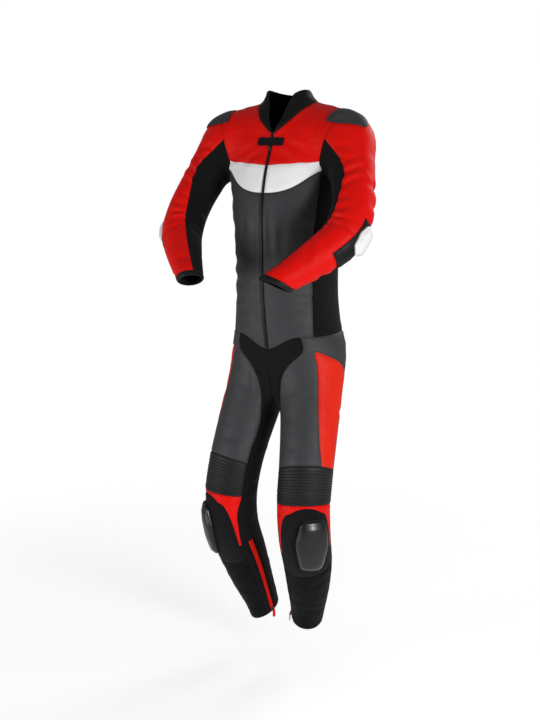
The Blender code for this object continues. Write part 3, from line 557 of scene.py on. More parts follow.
# Creases: where along and round it starts, where it ends, width and depth in mm. A depth below
# zero is a ridge. Along is a share of the arm's length, or a height; round is in degrees.
ARM_CREASES = (
    (0.10, 126, 0.15, 74, 7, 1.8),
    (0.16, 134, 0.19, 88, 6, 2.4),
    (0.22, 136, 0.17, 62, 8, 2.6),
    (0.27, 138, 0.21, 48, 9, 3.2),
    (0.25, 60, 0.30, 20, 8, -1.8),
    (0.33, 140, 0.28, 70, 7, 2.0),
    (0.39, 142, 0.37, 92, 6, 1.6),
    (0.46, 146, 0.43, 86, 7, 2.6),
    (0.50, 148, 0.495, 74, 6, 3.0),
    (0.54, 148, 0.56, 84, 6, 2.4),
    (0.59, 148, 0.65, 72, 7, 2.0),
    (0.70, 128, 0.77, 66, 9, 1.6),
    (0.86, 142, 0.81, 60, 7, 1.6),
    (0.88, 50, 0.83, 0, 6, 1.4),
    (0.29, 44, 0.31, -58, 11, 3.4),
    (0.38, 40, 0.385, -66, 9, 2.4),
    (0.445, 36, 0.45, -50, 6, 1.6),
    (0.655, 34, 0.66, -60, 7, 1.8),
    (0.74, 20, 0.71, -70, 9, 1.6),
    (0.14, -50, 0.20, -76, 8, 2.2),
    (0.24, -80, 0.30, -50, 8, 2.0),
    (0.55, -60, 0.50, -104, 7, 2.2),
    (0.60, -64, 0.62, -112, 6, 2.0),
    (0.16, 166, 0.20, 232, 6, 2.0),
    (0.24, 160, 0.23, 238, 7, 2.4),
    (0.32, 166, 0.35, 228, 6, 1.6),
    (0.455, 160, 0.44, 226, 6, 2.4),
    (0.50, 158, 0.505, 230, 6, 3.0),
    (0.545, 160, 0.56, 224, 6, 2.4),
    (0.62, 166, 0.66, 220, 7, 1.6),
)
LEG_CREASES = (
    (-0.640, -34, -0.610, 14, 9, 1.8),
    (-0.690, -44, -0.672, 20, 10, 2.2),
    (-0.735, -48, -0.750, 6, 9, 1.6),
    (-0.790, -50, -0.812, 20, 11, 1.6),
    (-0.610, 40, -0.585, 92, 9, 1.8),
    (-0.700, 52, -0.660, 106, 11, 1.6),
    (-0.780, 60, -0.755, 104, 10, 1.4),
    (-0.612, -48, -0.700, -62, 6, 2.2),
    (-0.640, -66, -0.712, -74, 5, 1.8),
    (-0.690, 238, -0.655, 290, 8, 2.0),
    (-0.730, 232, -0.720, 296, 9, 2.2),
    (-0.780, 236, -0.800, 292, 9, 1.6),
    (-0.650, 150, -0.690, 206, 12, 2.6),
    (-0.740, 140, -0.730, 210, 10, 2.0),
    (-0.865, 134, -0.880, 212, 9, 2.4),
    (-0.905, 128, -0.910, 222, 8, 3.0),
    (-0.938, 132, -0.932, 226, 7, 3.2),
    (-0.968, 128, -0.980, 218, 8, 2.6),
    (-1.005, 136, -1.020, 206, 9, 1.8),
    (-0.900, 236, -0.915, 292, 7, 2.0),
    (-0.945, 232, -0.940, 296, 7, 2.4),
    (-0.985, 236, -1.000, 290, 8, 1.8),
    (-1.100, -20, -1.112, 40, 8, 1.6),
    (-1.128, 34, -1.112, 92, 8, 2.2),
    (-1.160, 56, -1.150, 112, 7, 2.0),
    (-1.185, -30, -1.170, 28, 9, 1.6),
    (-1.205, 40, -1.222, 100, 7, 2.2),
    (-1.238, -24, -1.230, 36, 7, 1.8),
    (-1.080, 140, -1.105, 206, 10, 1.6),
    (-1.150, 132, -1.165, 200, 9, 2.0),
    (-1.215, 136, -1.205, 206, 8, 2.2),
    (-1.130, 228, -1.150, 262, 8, 1.6),
    (-1.210, 222, -1.225, 266, 7, 1.6),
)
TORSO_CREASES = (
    (-0.052, 24, -0.086, 52, 9, 2.0),
    (-0.078, 12, -0.118, 40, 10, 1.8),
    (-0.104, 44, -0.118, 60, 7, 2.0),
    (-0.200, 9, -0.335, 12, 8, 1.5),
    (-0.215, 27, -0.330, 22, 11, 1.4),
    (-0.196, 62, -0.212, 30, 10, 1.6),
    (-0.255, 74, -0.268, 44, 12, 1.8),
    (-0.345, 70, -0.352, 26, 11, 2.2),
    (-0.392, 60, -0.404, 14, 10, 2.6),
    (-0.432, 66, -0.428, 28, 9, 2.2),
    (-0.476, 56, -0.462, 18, 10, 2.0),
    (-0.512, 16, -0.496, 46, 9, 1.6),
    (-0.190, 108, -0.176, 78, 8, 2.4),
    (-0.218, 104, -0.230, 76, 8, 2.0),
    (-0.360, 112, -0.372, 72, 9, 2.2),
    (-0.408, 108, -0.400, 74, 8, 2.6),
    (-0.446, 112, -0.458, 76, 9, 2.0),
    (-0.120, 128, -0.168, 160, 12, 2.4),
    (-0.215, 122, -0.230, 166, 12, 1.8),
    (-0.330, 124, -0.342, 172, 12, 2.2),
    (-0.385, 120, -0.392, 176, 10, 3.0),
    (-0.424, 124, -0.420, 170, 9, 2.6),
    (-0.468, 122, -0.478, 168, 11, 2.0),
    (-0.055, 130, -0.070, 168, 12, 1.6),
)
# Each table with its chart and how much deeper than the table its creases are drawn
CREASES = ((ARM_CREASES, arm_ray, 1.4), (LEG_CREASES, leg_ray, 1.0), (TORSO_CREASES, torso_ray, 1.15))
CREASE_POINTS = 9
# How much the wearer's right side differs: in metres, in degrees and as a share of the depth
CREASE_UNEVEN_PLACE, CREASE_UNEVEN_TURN, CREASE_UNEVEN_DEPTH = 0.006, 5.0, 0.3
CREASE_WAVE = 1.5 * MM
# Widths of the crease: how far it reaches, and where the two low ridges beside it lie
CREASE_REACH, RIDGE_PLACE = 3.2, 1.75
RIDGE_SHARE, RIDGE_STEEPNESS, CREASE_FADE = 0.42, 1.3, 0.7


def crease_lines():
    """Each crease as its points on the form, its width and its depth, on both sides of the suit.

    The twin on the wearer's right starts, ends and sinks a little differently.
    """
    rays, sizes = [], []
    share = np.linspace(0, 1, CREASE_POINTS)
    rows = [(chart, gain, side, *row) for table, chart, gain in CREASES for row in table for side in (1, -1)]
    for number, (chart, gain, side, start, first, end, last, width, depth) in enumerate(rows, 1):
        shift = math.sin(7.3 * number) if side < 0 else 0.0
        places = start + (end - start) * share + CREASE_UNEVEN_PLACE * shift
        places = places + CREASE_WAVE * np.sin(3 * math.pi * share + number)
        turns = first + (last - first) * share + CREASE_UNEVEN_TURN * shift
        rays += map(chart, places, turns)
        sizes.append((side, width * MM, gain * depth * MM * (1 + CREASE_UNEVEN_DEPTH * shift)))
    origins, ways = (np.array(part) for part in zip(*rays))
    lines = from_axis(origins, ways).reshape(-1, CREASE_POINTS, 3)
    return [(line * (side, 1, 1), width, depth) for line, (side, width, depth) in zip(lines, sizes)]


def relief(points, creases):
    """How far the creases move the cloth out at each point: a soft trough between two low ridges."""
    flat = points.reshape(-1, 3)
    height = np.zeros(len(flat))
    for line, width, depth in creases:
        reach = CREASE_REACH * width
        near = np.flatnonzero(np.all((flat > line.min(0) - reach) & (flat < line.max(0) + reach), axis=1))
        if not len(near):
            continue
        a, d = line[:-1], np.diff(line, axis=0)
        w = flat[near, None] - a
        t = np.clip((w * d).sum(-1) / (d * d).sum(-1), 0, 1)
        away = np.linalg.norm(w - t[..., None] * d, axis=-1)
        nearest = away.argmin(axis=1)
        row = np.arange(len(near))
        along = (nearest + t[row, nearest]) / len(d)
        away = away[row, nearest] / width
        fade = np.sin(math.pi * np.clip(along, 0, 1)) ** CREASE_FADE
        ridge = RIDGE_SHARE * np.exp(-RIDGE_STEEPNESS * (away - RIDGE_PLACE) ** 2)
        height[near] -= depth * fade * (np.exp(-(away**2)) - ridge)
    return height.reshape(points.shape[:-1])


def fine_lines(segments):
    """Where the fine lines lie across a number of the net's segments."""
    return np.append(np.add.outer(np.arange(segments), LINES).ravel(), segments)


def finely(block, rows=None, ring=False):
    """A block of the net in fine lines, on a smooth surface through its points, laid on the form."""
    if ring:
        block = np.concatenate([block[:, -3:-1], block, block[:, 1:3]], axis=1)
    if rows is None:
        rows = fine_lines(len(block) - 1)
    across = fine_lines(block.shape[1] - (5 if ring else 1)) + (2 if ring else 0)
    wide = cubic(np.column_stack([np.arange(len(block)), block.reshape(len(block), -1)]), rows)
    wide = wide.reshape(len(rows), -1, 3).transpose(1, 0, 2)
    fine = cubic(np.column_stack([np.arange(len(wide)), wide.reshape(len(wide), -1)]), across)
    return onto_form(fine.reshape(len(across), -1, 3).transpose(1, 0, 2), 3)


def meet(fine, line):
    """The block with its first row on a line of its neighbour's, and the miss faded over one segment."""
    miss = line - fine[0]
    for row, share in enumerate(LINES):
        fine[row] += miss * (1 - share)
    fine[1:PARTS] = onto_form(fine[1:PARTS], 2)
    return fine


class Block:
    """A block of fine points with their outward directions and the relief of the cloth there."""

    def __init__(self, points, creases, facing=None, parts=(PARTS, PARTS), extra=None):
        self.points, self.parts, self.creases = points, parts, creases
        self.facing = normals(points) if facing is None else facing
        self.extra = extra
        self.relief = relief(points, creases) + (0 if extra is None else extra)
        run = np.linalg.norm(np.diff(points, axis=1), axis=-1).cumsum(axis=1)
        drop = np.linalg.norm(np.diff(points, axis=0), axis=-1).cumsum(axis=0)
        self.u = np.pad(run, ((0, 0), (1, 0)))
        self.v = np.pad(drop, ((1, 0), (0, 0)))

    def line_up(self, rows, col):
        """The middle of a zip along a column, on the outside of its tape, and the directions out."""
        out = self.facing[rows, col]
        return self.points[rows, col] + out * (self.relief[rows, col] + STRETCH / 2)[:, None], out

    def mirrored(self):
        return Block(self.points * MIRROR, self.creases, self.facing * MIRROR, self.parts, self.extra)

    def whole(self, first):
        """The block and its mirror image, joined at the body's middle; `first` says where that is."""
        sides = [self.points * MIRROR, self.facing * MIRROR], [self.points, self.facing]
        joined = []
        for flipped, own in zip(*sides):
            flipped = flipped[:, ::-1]
            pair = [flipped, own[:, 1:]] if first else [own, flipped[:, 1:]]
            joined.append(np.concatenate(pair, axis=1))
        return Block(joined[0], self.creases, joined[1], self.parts)


class Cloth:
    """The outline and the points of one panel, cut from a block.

    Its areas are in the net's rows and columns. Each edge is drawn in by the gap.
    """

    def __init__(self, block, areas, gap, around):
        rows, cols = block.points.shape[:2]
        self.cells = np.zeros((rows - 1, cols - 1), bool)
        tall, wide = block.parts
        for r0, r1, c0, c1 in areas:
            self.cells[r0 * tall : r1 * tall, c0 * wide : c1 * wide] = True
        self.cut(block, cols - 1 if around else cols)
        self.find_border()
        self.points = self.points + self.inward * gap
        ends = self.border[:, 0]
        tree = kdtree.KDTree(len(ends))
        for k in ends:
            tree.insert(self.points[k], int(k))
        tree.balance()
        self.edge = np.array([tree.find(point)[2] for point in self.points])
        self.lengths = [self.longest(block, axis) for axis in (1, 0)]

    def cut(self, block, width):
        """Take the block's points and faces that the panel covers, facing out."""
        r, c = np.nonzero(self.cells)
        above, below, beyond = r * width, (r + 1) * width, (c + 1) % width
        quads = np.column_stack([above + c, above + beyond, below + beyond, below + c])
        used, quads = np.unique(quads, return_inverse=True)
        self.quads = quads.reshape(-1, 4)

        def pick(field):
            return field[:, :width].reshape(len(field) * width, -1)[used]

        self.points, self.facing = pick(block.points), pick(block.facing)
        self.relief = pick(block.relief)[:, 0]
        self.uv = np.column_stack([pick(block.u), pick(block.v)])
        p, q = self.points, self.quads
        corner = np.cross(p[q[:, 1]] - p[q[:, 0]], p[q[:, 3]] - p[q[:, 0]])
        if (corner * self.facing[q[:, 0]]).sum() < 0:
            self.quads = self.quads[:, ::-1]

    def find_border(self):
        """Find the panel's outer edges, and the way in from each of their points."""
        p, n = self.points, len(self.points)
        a, b = self.quads.ravel(), np.roll(self.quads, -1, axis=1).ravel()
        outer = ~np.isin(a * n + b, b * n + a)
        self.border = np.column_stack([a[outer], b[outer]])
        self.inward = np.zeros((n, 3))
        a, b = self.border.T
        side = unit(np.cross(self.facing[a], p[b] - p[a]))
        np.add.at(self.inward, a, side)
        np.add.at(self.inward, b, side)
        size = (self.inward**2).sum(axis=1, keepdims=True)
        self.inward /= np.maximum(size / 2, SHARPEST_CORNER)

    def longest(self, block, axis):
        """The longest line across the panel along an axis of its block."""
        step = np.linalg.norm(np.diff(block.points, axis=axis), axis=-1)
        rows, cols = self.cells.shape
        return (step[:rows, :cols] * self.cells).sum(axis=axis).max()

    def area(self):
        p = self.points[self.quads]
        return 0.5 * np.linalg.norm(np.cross(p[:, 2] - p[:, 0], p[:, 3] - p[:, 1]), axis=1).sum()

    def loops(self):
        """The border's lines of points, in order."""
        onward = dict(self.border)
        while onward:
            start = at = next(iter(onward))
            loop = [start]
            while (at := onward.pop(at)) != start:
                loop.append(at)
            yield np.array(loop)


def rolled(edge):
    """How far the cloth turns down towards a seam, and swells over the turned-in edge beside it."""
    dip = SEAM_DIP * np.exp(-((edge / SEAM_DIP_WIDTH) ** 2))
    return SEAM_SWELL * np.exp(-(((edge - SEAM_SWELL_PLACE) / SEAM_SWELL_WIDTH) ** 2)) - dip


def cloth_piece(node, block, areas, wall, finish, lift=0.0, around=False, held="hung", roll=1.0,
                declared=True, with_pieces=()):
    """One panel as a thin shell over its solid, which it replaces."""
    cloth = Cloth(block, areas, SEAM, around)
    out = cloth.relief + roll * rolled(cloth.edge) + lift
    top = cloth.outside = cloth.points + cloth.facing * (out + wall / 2)[:, None]
    under = cloth.points + cloth.facing * (out - wall / 2)[:, None]
    n, (a, b) = len(top), cloth.border.T
    faces = np.concatenate([cloth.quads, n + cloth.quads[:, ::-1], np.column_stack([b, a, n + a, n + b])])
    piece = mesh_piece(node + "_cloth", np.concatenate([top, under]), faces.tolist(), (finish, "lining"))
    slots = np.zeros(len(faces), np.int32)
    slots[len(cloth.quads) : 2 * len(cloth.quads)] = 1
    piece.data.polygons.foreach_set("material_index", slots)
    uv = piece.data.uv_layers.new(name=CUT)
    uv.data.foreach_set("uv", np.tile(cloth.uv, (2, 1))[faces.ravel()].ravel())
    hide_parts(node)
    if declared:
        area = cloth.area()
        width, length = cloth.lengths
        width = min(width, area / (LEAST_FILL * length))
        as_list(with_pieces)
    return piece, cloth


def pair(node, block, areas, wall, finish, **more):
    """A panel and its twin on the wearer's right."""
    return [
        cloth_piece(node + "_left", block, areas, wall, finish, **more),
        cloth_piece(node + "_right", block.mirrored(), areas, wall, finish, **more),
    ]


def mesh_piece(name, points, faces, finishes, sharp=50.0):
    """A piece on the suit's body, smooth but for edges bent by more than the sharp angle."""
    mesh = bpy.data.meshes.new(name)
    mesh.from_pydata(np.asarray(points).tolist(), [], faces)
    for finish in finishes:
        mesh.materials.append(finish_of(finish))
    mesh.shade_smooth()
    mesh.set_sharp_from_angle(angle=sharp * DEG)
    made = bpy.data.objects.new(name, mesh)
    bpy.context.scene.collection.objects.link(made)
    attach(made, "suit")
    return made


# Finishes -----------------------------------------------------------------------------
def linear(code):
    """A colour in sRGB hex as linear red, green, blue and one."""
    parts = [int(code[k : k + 2], 16) / 255 for k in (1, 3, 5)]
    return [c / 12.92 if c <= 0.04045 else ((c + 0.055) / 1.055) ** 2.4 for c in parts] + [1.0]


def node(tree, kind, settings=None, **links):
    """A node with its settings, and its inputs given as values or as other nodes' outputs.

    An input whose name its node repeats is given by number, as i6 and i7 are a Mix node's two colours.
    """
    made = tree.nodes.new(kind)
    for name, value in (settings or {}).items():
        setattr(made, name, value)
    for name, value in links.items():
        socket = made.inputs[int(name[1:]) if name[1:].isdigit() else name.replace("_", " ")]
        if isinstance(value, bpy.types.NodeSocket):
            tree.links.new(value, socket)
        else:
            socket.default_value = value
    return made


def started(name, roughness, **more):
    """A new material with its tree, its shader and its place in metres."""
    made = bpy.data.materials.new(name)
    made.use_nodes = True
    tree = made.node_tree
    shader = tree.nodes["Principled BSDF"]
    shader.inputs["Roughness"].default_value = roughness
    for socket, value in more.items():
        shader.inputs[socket.replace("_", " ")].default_value = value
    return made, tree, shader, node(tree, "ShaderNodeTexCoord").outputs["Object"]


def varied(tree, shader, place, code, amount, size):
    """Base colour that drifts a little darker and lighter over patches of a size in metres."""
    drift = node(tree, "ShaderNodeTexNoise", Vector=place, Scale=1 / size, Detail=3.0)
    colour = linear(code)
    dark = [c * (1 - amount) for c in colour[:3]] + [1]
    light = [min(1, c * (1 + amount)) for c in colour[:3]] + [1]
    mix = node(tree, "ShaderNodeMix", {"data_type": "RGBA"}, i0=drift.outputs["Fac"], i6=dark, i7=light)
    tree.links.new(mix.outputs[2], shader.inputs["Base Color"])
    return mix.outputs[2]


def leather(name, code, roughness, grain=1.3, soft=0.5, gloss=0.26, dots=False):
    """Cowhide with a pigmented topcoat: fine pebble grain, a soft satin light, slow hollows.

    The real grain is about 0.6 mm. It is drawn at 1.3 mm so that it shows.
    """
    made, tree, shader, place = started(name, roughness, Specular_IOR_Level=gloss)
    colour = varied(tree, shader, place, code, 0.09, 0.045)
    pebble = node(tree, "ShaderNodeTexVoronoi", {"feature": "DISTANCE_TO_EDGE"}, Vector=place,
                  Scale=1 / (grain * MM))
    ramp = node(tree, "ShaderNodeMapRange", Value=pebble.outputs["Distance"], From_Min=0.0, From_Max=0.25)
    hollow = node(tree, "ShaderNodeTexNoise", Vector=place, Scale=1 / 0.022, Detail=3.0, Roughness=0.55)
    big = node(tree, "ShaderNodeBump", Strength=soft, Distance=0.0035, Height=hollow.outputs["Fac"])
    fine = node(tree, "ShaderNodeBump", Strength=0.35, Distance=0.0003, Height=ramp.outputs[0],
                Normal=big.outputs["Normal"])
    normal = fine
    if dots:
        # Punched holes 1.2 mm across on a 5 mm grid
        cut = node(tree, "ShaderNodeUVMap", {"uv_map": CUT})
        grid = node(tree, "ShaderNodeVectorMath", {"operation": "SCALE"}, i0=cut.outputs[0], Scale=1 / 0.005)
        cell = node(tree, "ShaderNodeVectorMath", {"operation": "FRACTION"}, i0=grid.outputs[0])
        off = node(tree, "ShaderNodeVectorMath", {"operation": "DISTANCE"}, i0=cell.outputs[0],
                   i1=(0.5, 0.5, 0.0))
        hole = node(tree, "ShaderNodeMapRange", {"clamp": True}, Value=off.outputs["Value"],
                    From_Min=0.09, From_Max=0.14)
        shade = node(tree, "ShaderNodeMix", {"data_type": "RGBA"}, i0=hole.outputs[0],
                     i6=linear("#5A5A5C"), i7=colour)
        tree.links.new(shade.outputs[2], shader.inputs["Base Color"])
        normal = node(tree, "ShaderNodeBump", Strength=0.5, Distance=0.0008, Height=hole.outputs[0],
                      Normal=fine.outputs["Normal"])
    tree.links.new(normal.outputs["Normal"], shader.inputs["Normal"])
    worn = node(tree, "ShaderNodeMapRange", Value=hollow.outputs["Fac"], From_Min=0.3, From_Max=0.7,
                To_Min=roughness - 0.07, To_Max=roughness + 0.08)
    tree.links.new(worn.outputs[0], shader.inputs["Roughness"])
    return made


def stretch(name, code):
    """Knitted aramid stretch cloth: matt, with rows of fine loops that catch a little light.

    The real rows are 0.8 mm apart. They are drawn 1.6 mm apart so that they show.
    """
    made, tree, shader, place = started(name, 0.85, Specular_IOR_Level=0.12, Sheen_Weight=0.04,
                                        Sheen_Roughness=0.5)
    varied(tree, shader, place, code, 0.14, 0.03)
    turns = 2 * math.pi / 20 / 0.0016
    rows = node(tree, "ShaderNodeTexWave", {"bands_direction": "Z"}, Vector=place, Scale=turns,
                Distortion=0.6, Detail=1.0)
    loops = node(tree, "ShaderNodeTexWave", {"bands_direction": "DIAGONAL"}, Vector=place,
                 Scale=turns * 0.8, Distortion=0.8)
    both = node(tree, "ShaderNodeMath", {"operation": "MULTIPLY"}, i0=rows.outputs["Fac"],
                i1=loops.outputs["Fac"])
    slack = node(tree, "ShaderNodeTexNoise", Vector=place, Scale=1 / 0.018, Detail=2.0)
    big = node(tree, "ShaderNodeBump", Strength=0.45, Distance=0.003, Height=slack.outputs["Fac"])
    fine = node(tree, "ShaderNodeBump", Strength=0.5, Distance=0.0006, Height=both.outputs[0],
                Normal=big.outputs["Normal"])
    tree.links.new(fine.outputs["Normal"], shader.inputs["Normal"])
    return made


def moulded(name, code, roughness, gloss=0.0):
    """Injection-moulded plastic: even colour, a faint pebble from the tool and fine scuffs."""
    made, tree, shader, place = started(name, roughness, IOR=1.46, Specular_IOR_Level=0.36,
                                        Coat_Weight=gloss, Coat_Roughness=0.12)
    varied(tree, shader, place, code, 0.06, 0.02)
    pebble = node(tree, "ShaderNodeTexNoise", Vector=place, Scale=1 / 0.0011, Detail=2.0)
    bump = node(tree, "ShaderNodeBump", Strength=0.2, Distance=0.0003, Height=pebble.outputs["Fac"])
    tree.links.new(bump.outputs["Normal"], shader.inputs["Normal"])
    stretched = node(tree, "ShaderNodeVectorMath", {"operation": "MULTIPLY"}, i0=place, i1=(260, 260, 60))
    scuff = node(tree, "ShaderNodeTexNoise", Vector=stretched.outputs[0], Scale=1.0, Detail=4.0)
    wear = node(tree, "ShaderNodeMapRange", Value=scuff.outputs["Fac"], From_Min=0.35, From_Max=0.75,
                To_Min=roughness, To_Max=roughness + 0.16)
    tree.links.new(wear.outputs[0], shader.inputs["Roughness"])
    return made


def cast(name, code):
    """Die-cast zinc with a gunmetal plating: dark, smooth, rubbed brighter in places."""
    made, tree, shader, place = started(name, 0.34, Metallic=1.0)
    varied(tree, shader, place, code, 0.25, 0.004)
    rub = node(tree, "ShaderNodeTexNoise", Vector=place, Scale=1 / 0.0015, Detail=3.0)
    wear = node(tree, "ShaderNodeMapRange", Value=rub.outputs["Fac"], From_Min=0.3, From_Max=0.7,
                To_Min=0.26, To_Max=0.46)
    tree.links.new(wear.outputs[0], shader.inputs["Roughness"])
    bump = node(tree, "ShaderNodeBump", Strength=0.15, Distance=0.0002, Height=rub.outputs["Fac"])
    tree.links.new(bump.outputs["Normal"], shader.inputs["Normal"])
    return made


def thread(name, code):
    """Bonded polyester sewing thread: a twisted strand with a low silky light."""
    made, tree, shader, place = started(name, 0.55, Specular_IOR_Level=0.35, Sheen_Weight=0.1)
    varied(tree, shader, place, code, 0.15, 0.004)
    twist = node(tree, "ShaderNodeTexWave", {"bands_direction": "DIAGONAL"}, Vector=place,
                 Scale=2 * math.pi / 20 / 0.0006)
    bump = node(tree, "ShaderNodeBump", Strength=0.4, Distance=0.0002, Height=twist.outputs["Fac"])
    tree.links.new(bump.outputs["Normal"], shader.inputs["Normal"])
    return made


def plaster(name, code):
    """Painted studio floor: matt, almost even."""
    made, tree, shader, place = started(name, 0.9, Specular_IOR_Level=0.2, Emission_Color=linear("#FFFFFF"),
                                        Emission_Strength=0.5)
    varied(tree, shader, place, code, 0.008, 0.6)
    grit = node(tree, "ShaderNodeTexNoise", Vector=place, Scale=1 / 0.004, Detail=2.0)
    bump = node(tree, "ShaderNodeBump", Strength=0.05, Distance=0.0005, Height=grit.outputs["Fac"])
    tree.links.new(bump.outputs["Normal"], shader.inputs["Normal"])
    # The floor thins out with distance from its middle, so that it has no hard edge
    flat = node(tree, "ShaderNodeVectorMath", {"operation": "MULTIPLY"}, i0=place, i1=(1, 1, 0))
    away = node(tree, "ShaderNodeVectorMath", {"operation": "LENGTH"}, i0=flat.outputs[0])
    fade = node(tree, "ShaderNodeMapRange", {"interpolation_type": "SMOOTHSTEP"}, Value=away.outputs["Value"],
                From_Min=0.3, From_Max=1.9, To_Min=1.0, To_Max=0.0)
    tree.links.new(fade.outputs[0], shader.inputs["Alpha"])
    return made


class Finish:
    """How a finish is made, and the record's slot that it belongs to. It is made when first used."""

    def __init__(self, slot, make, *settings, **more):
        self.slot, self.make, self.settings, self.more, self.made = slot, make, settings, more, None


RED, WHITE, BLACK, CHARCOAL = "leather_red", "leather_white", "leather_black", "leather_charcoal"
KNIT, PLASTIC = "stretch_black", "plastic_black"
FINISHES = {
    "red leather": Finish(RED, leather, "red cowhide", "#DC0A03", 0.46, gloss=0.12),
    # The thighs' side panels are the same red cowhide as the rest, painted paler and lighter: a painted
    # highlight where the light falls on the thighs.
    "red leather painted lighter": Finish(RED, leather, "red cowhide painted lighter for the thighs", "#D82410", 0.45, gloss=0.12),
    "white leather": Finish(WHITE, leather, "white perforated cowhide", "#FAFAFB", 0.5, dots=True),
    "charcoal leather": Finish(CHARCOAL, leather, "charcoal cowhide", "#37383A", 0.5, soft=0.35, gloss=0.2),
    "black leather": Finish(BLACK, leather, "black cowhide", "#0F1011", 0.5, gloss=0.2),
    "ribbed leather": Finish(BLACK, leather, "black cowhide over ribs", "#191A1B", 0.5, soft=0.2, gloss=0.22),
    "shin leather": Finish(BLACK, leather, "black matt cowhide", "#050506", 0.66, soft=0.4, gloss=0.1),
    "collar leather": Finish(BLACK, leather, "black collar nappa", "#0A0B0C", 0.55, grain=1.1, gloss=0.16),
    "stretch": Finish(KNIT, stretch, "black knitted stretch", "#0D0D0F"),
    "zip tape": Finish(KNIT, stretch, "black woven zip tape", "#0C0C0E"),
    "red tape": Finish(RED, stretch, "red woven zip tape", "#E8190D"),
    "lining": Finish(KNIT, stretch, "black mesh lining", "#0B0B0C"),
    "cup plastic": Finish(PLASTIC, moulded, "satin grey moulded nylon", "#2E3032", 0.42),
    "slider plastic": Finish(PLASTIC, moulded, "black moulded polyurethane", "#131416", 0.3, gloss=0.12),
    "base plastic": Finish(PLASTIC, moulded, "black hook-tape backing", "#161617", 0.7),
    "white plastic": Finish("plastic_white", moulded, "white moulded polyurethane", "#ECECEC", 0.36,
                            gloss=0.15),
    "red plastic": Finish(RED, moulded, "red moulded zip coil", "#E8190D", 0.4),
    "tooth plastic": Finish(PLASTIC, moulded, "black moulded zip teeth", "#1A1A1B", 0.38),
    "dark metal": Finish("metal_dark", cast, "gunmetal die-cast zinc", "#55565A"),
    # Red thread, painted much darker than the red leather: painted shade of the stitch holes and the hollows
    # along the seams.
    "red thread": Finish(RED, thread, "red sewing thread painted dark", "#6E0C07"),
    "black thread": Finish(BLACK, thread, "black sewing thread", "#2A2A2C"),
    "white thread": Finish(WHITE, thread, "white sewing thread", "#D2D2D4"),
    "floor": Finish(None, plaster, "white studio paint", "#F4F4F5"),
}


def finish_of(name):
    finish = FINISHES[name]
    if finish.made is None:
        finish.made = finish.make(*finish.settings, **finish.more)
    return finish.made


# Hard pieces, sewing and zips ---------------------------------------------------------
UNDERSIDE_SHARE = 0.97


def rounded_outline(corners, rounding, count=72):
    """A closed outline in even steps through corners cut back and curved by a share of each side."""
    corners = np.asarray(corners, float)
    before, after = np.roll(corners, 1, axis=0), np.roll(corners, -1, axis=0)
    t = np.linspace(0, 1, 9)[:, None]
    line = []
    for corner, b, a in zip(corners, before, after):
        start, end = corner + (b - corner) * rounding, corner + (a - corner) * rounding
        line.append((1 - t) ** 2 * start + 2 * t * (1 - t) * corner + t**2 * end)
    line = np.concatenate([*line, line[0][:1]])
    return evenly(np.column_stack([line, np.zeros(len(line))]), count)[:-1, :2]


def frame_on_form(centre, up):
    """Directions across and up the skin at a place on the form."""
    centre = onto_form([centre])[0]
    facing = normals([centre])[0]
    up = unit(np.asarray(up, float) - (np.asarray(up, float) @ facing) * facing)
    return centre, np.cross(up, facing), up


def puck(name, node_name, centre, up, outline, profile, underside, finish, crown=(0, 0)):
    """A moulded piece on the form, and its twin on the wearer's right where it isn't in the middle.

    Its outline, in mm, is drawn in ring by ring towards the crown and raised by the profile.
    """
    centre, across, up = frame_on_form(centre, up)
    outline, crown = np.asarray(outline) * MM, np.asarray(crown) * MM
    shares, heights = np.transpose([(UNDERSIDE_SHARE, underside), *profile])
    flat = crown + (outline - crown) * shares[:, None, None]
    points = onto_form(centre + flat[..., :1] * across + flat[..., 1:] * up, 6)
    points = points + normals(points) * heights[:, None, None] * MM
    at = np.arange(len(shares) * len(outline)).reshape(len(shares), -1)
    beyond = np.roll(at, -1, axis=1)
    faces = np.stack([at[:-1], beyond[:-1], beyond[1:], at[1:]], axis=-1).reshape(-1, 4).tolist()
    faces += [at[-1].tolist(), at[0][::-1].tolist()]
    for side, sign in ((("_left", 1), ("_right", -1)) if abs(centre[0]) > MM else (("", 1),)):
        turned = faces if sign > 0 else [face[::-1] for face in faces]
        piece = mesh_piece(name + side, points.reshape(-1, 3) * (sign, 1, 1), turned, (finish,), sharp=32)
        if node_name:
            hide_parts(node_name + side)


def strewn(name, places, alongs, facings, shape, faces, finish):
    """One mesh of many small like pieces: `shape` holds a piece's points along, across and out."""
    across = np.cross(facings, alongs)
    axes = np.stack([alongs, across, facings], axis=1)
    points = places[:, None] + np.einsum("pk,nkc->npc", shape, axes)
    n = len(shape)
    every = (np.arange(len(places))[:, None, None] * n + np.asarray(faces)[None]).reshape(-1, len(faces[0]))
    piece = mesh_piece(name, points.reshape(-1, 3), every.tolist(), (finish,), sharp=60)


# A stitch: its share of the pitch, the unit of its sizes across, and how high it lies on the cloth
STITCH_SHARE, THREAD_WIDTH, STITCH_LIFT = 0.84, 0.75 * MM, 0.1 * MM
SPINDLE = np.array([(-1, 0, 0), (0, 0.32, 0), (0, 0, 0.3), (0, -0.32, 0), (0, 0, -0.3), (1, 0, 0)])
SPINDLE_FACES = ((0, 1, 2), (0, 2, 3), (0, 3, 4), (0, 4, 1), (5, 2, 1), (5, 3, 2), (5, 4, 3), (5, 1, 4))
TOOTH_FACES = ((0, 3, 2, 1), (4, 5, 6, 7), (0, 1, 5, 4), (1, 2, 6, 5), (2, 3, 7, 6), (3, 0, 4, 7))


def tooth(length, width, height):
    """The eight points of a zip tooth, a block that narrows upwards."""
    base = [(-1, -1), (1, -1), (1, 1), (-1, 1)]
    low = [(x * length / 2, y * width / 2, 0) for x, y in base]
    return np.array(low + [(x * length * 0.36, y * width * 0.42, height) for x, y in base])


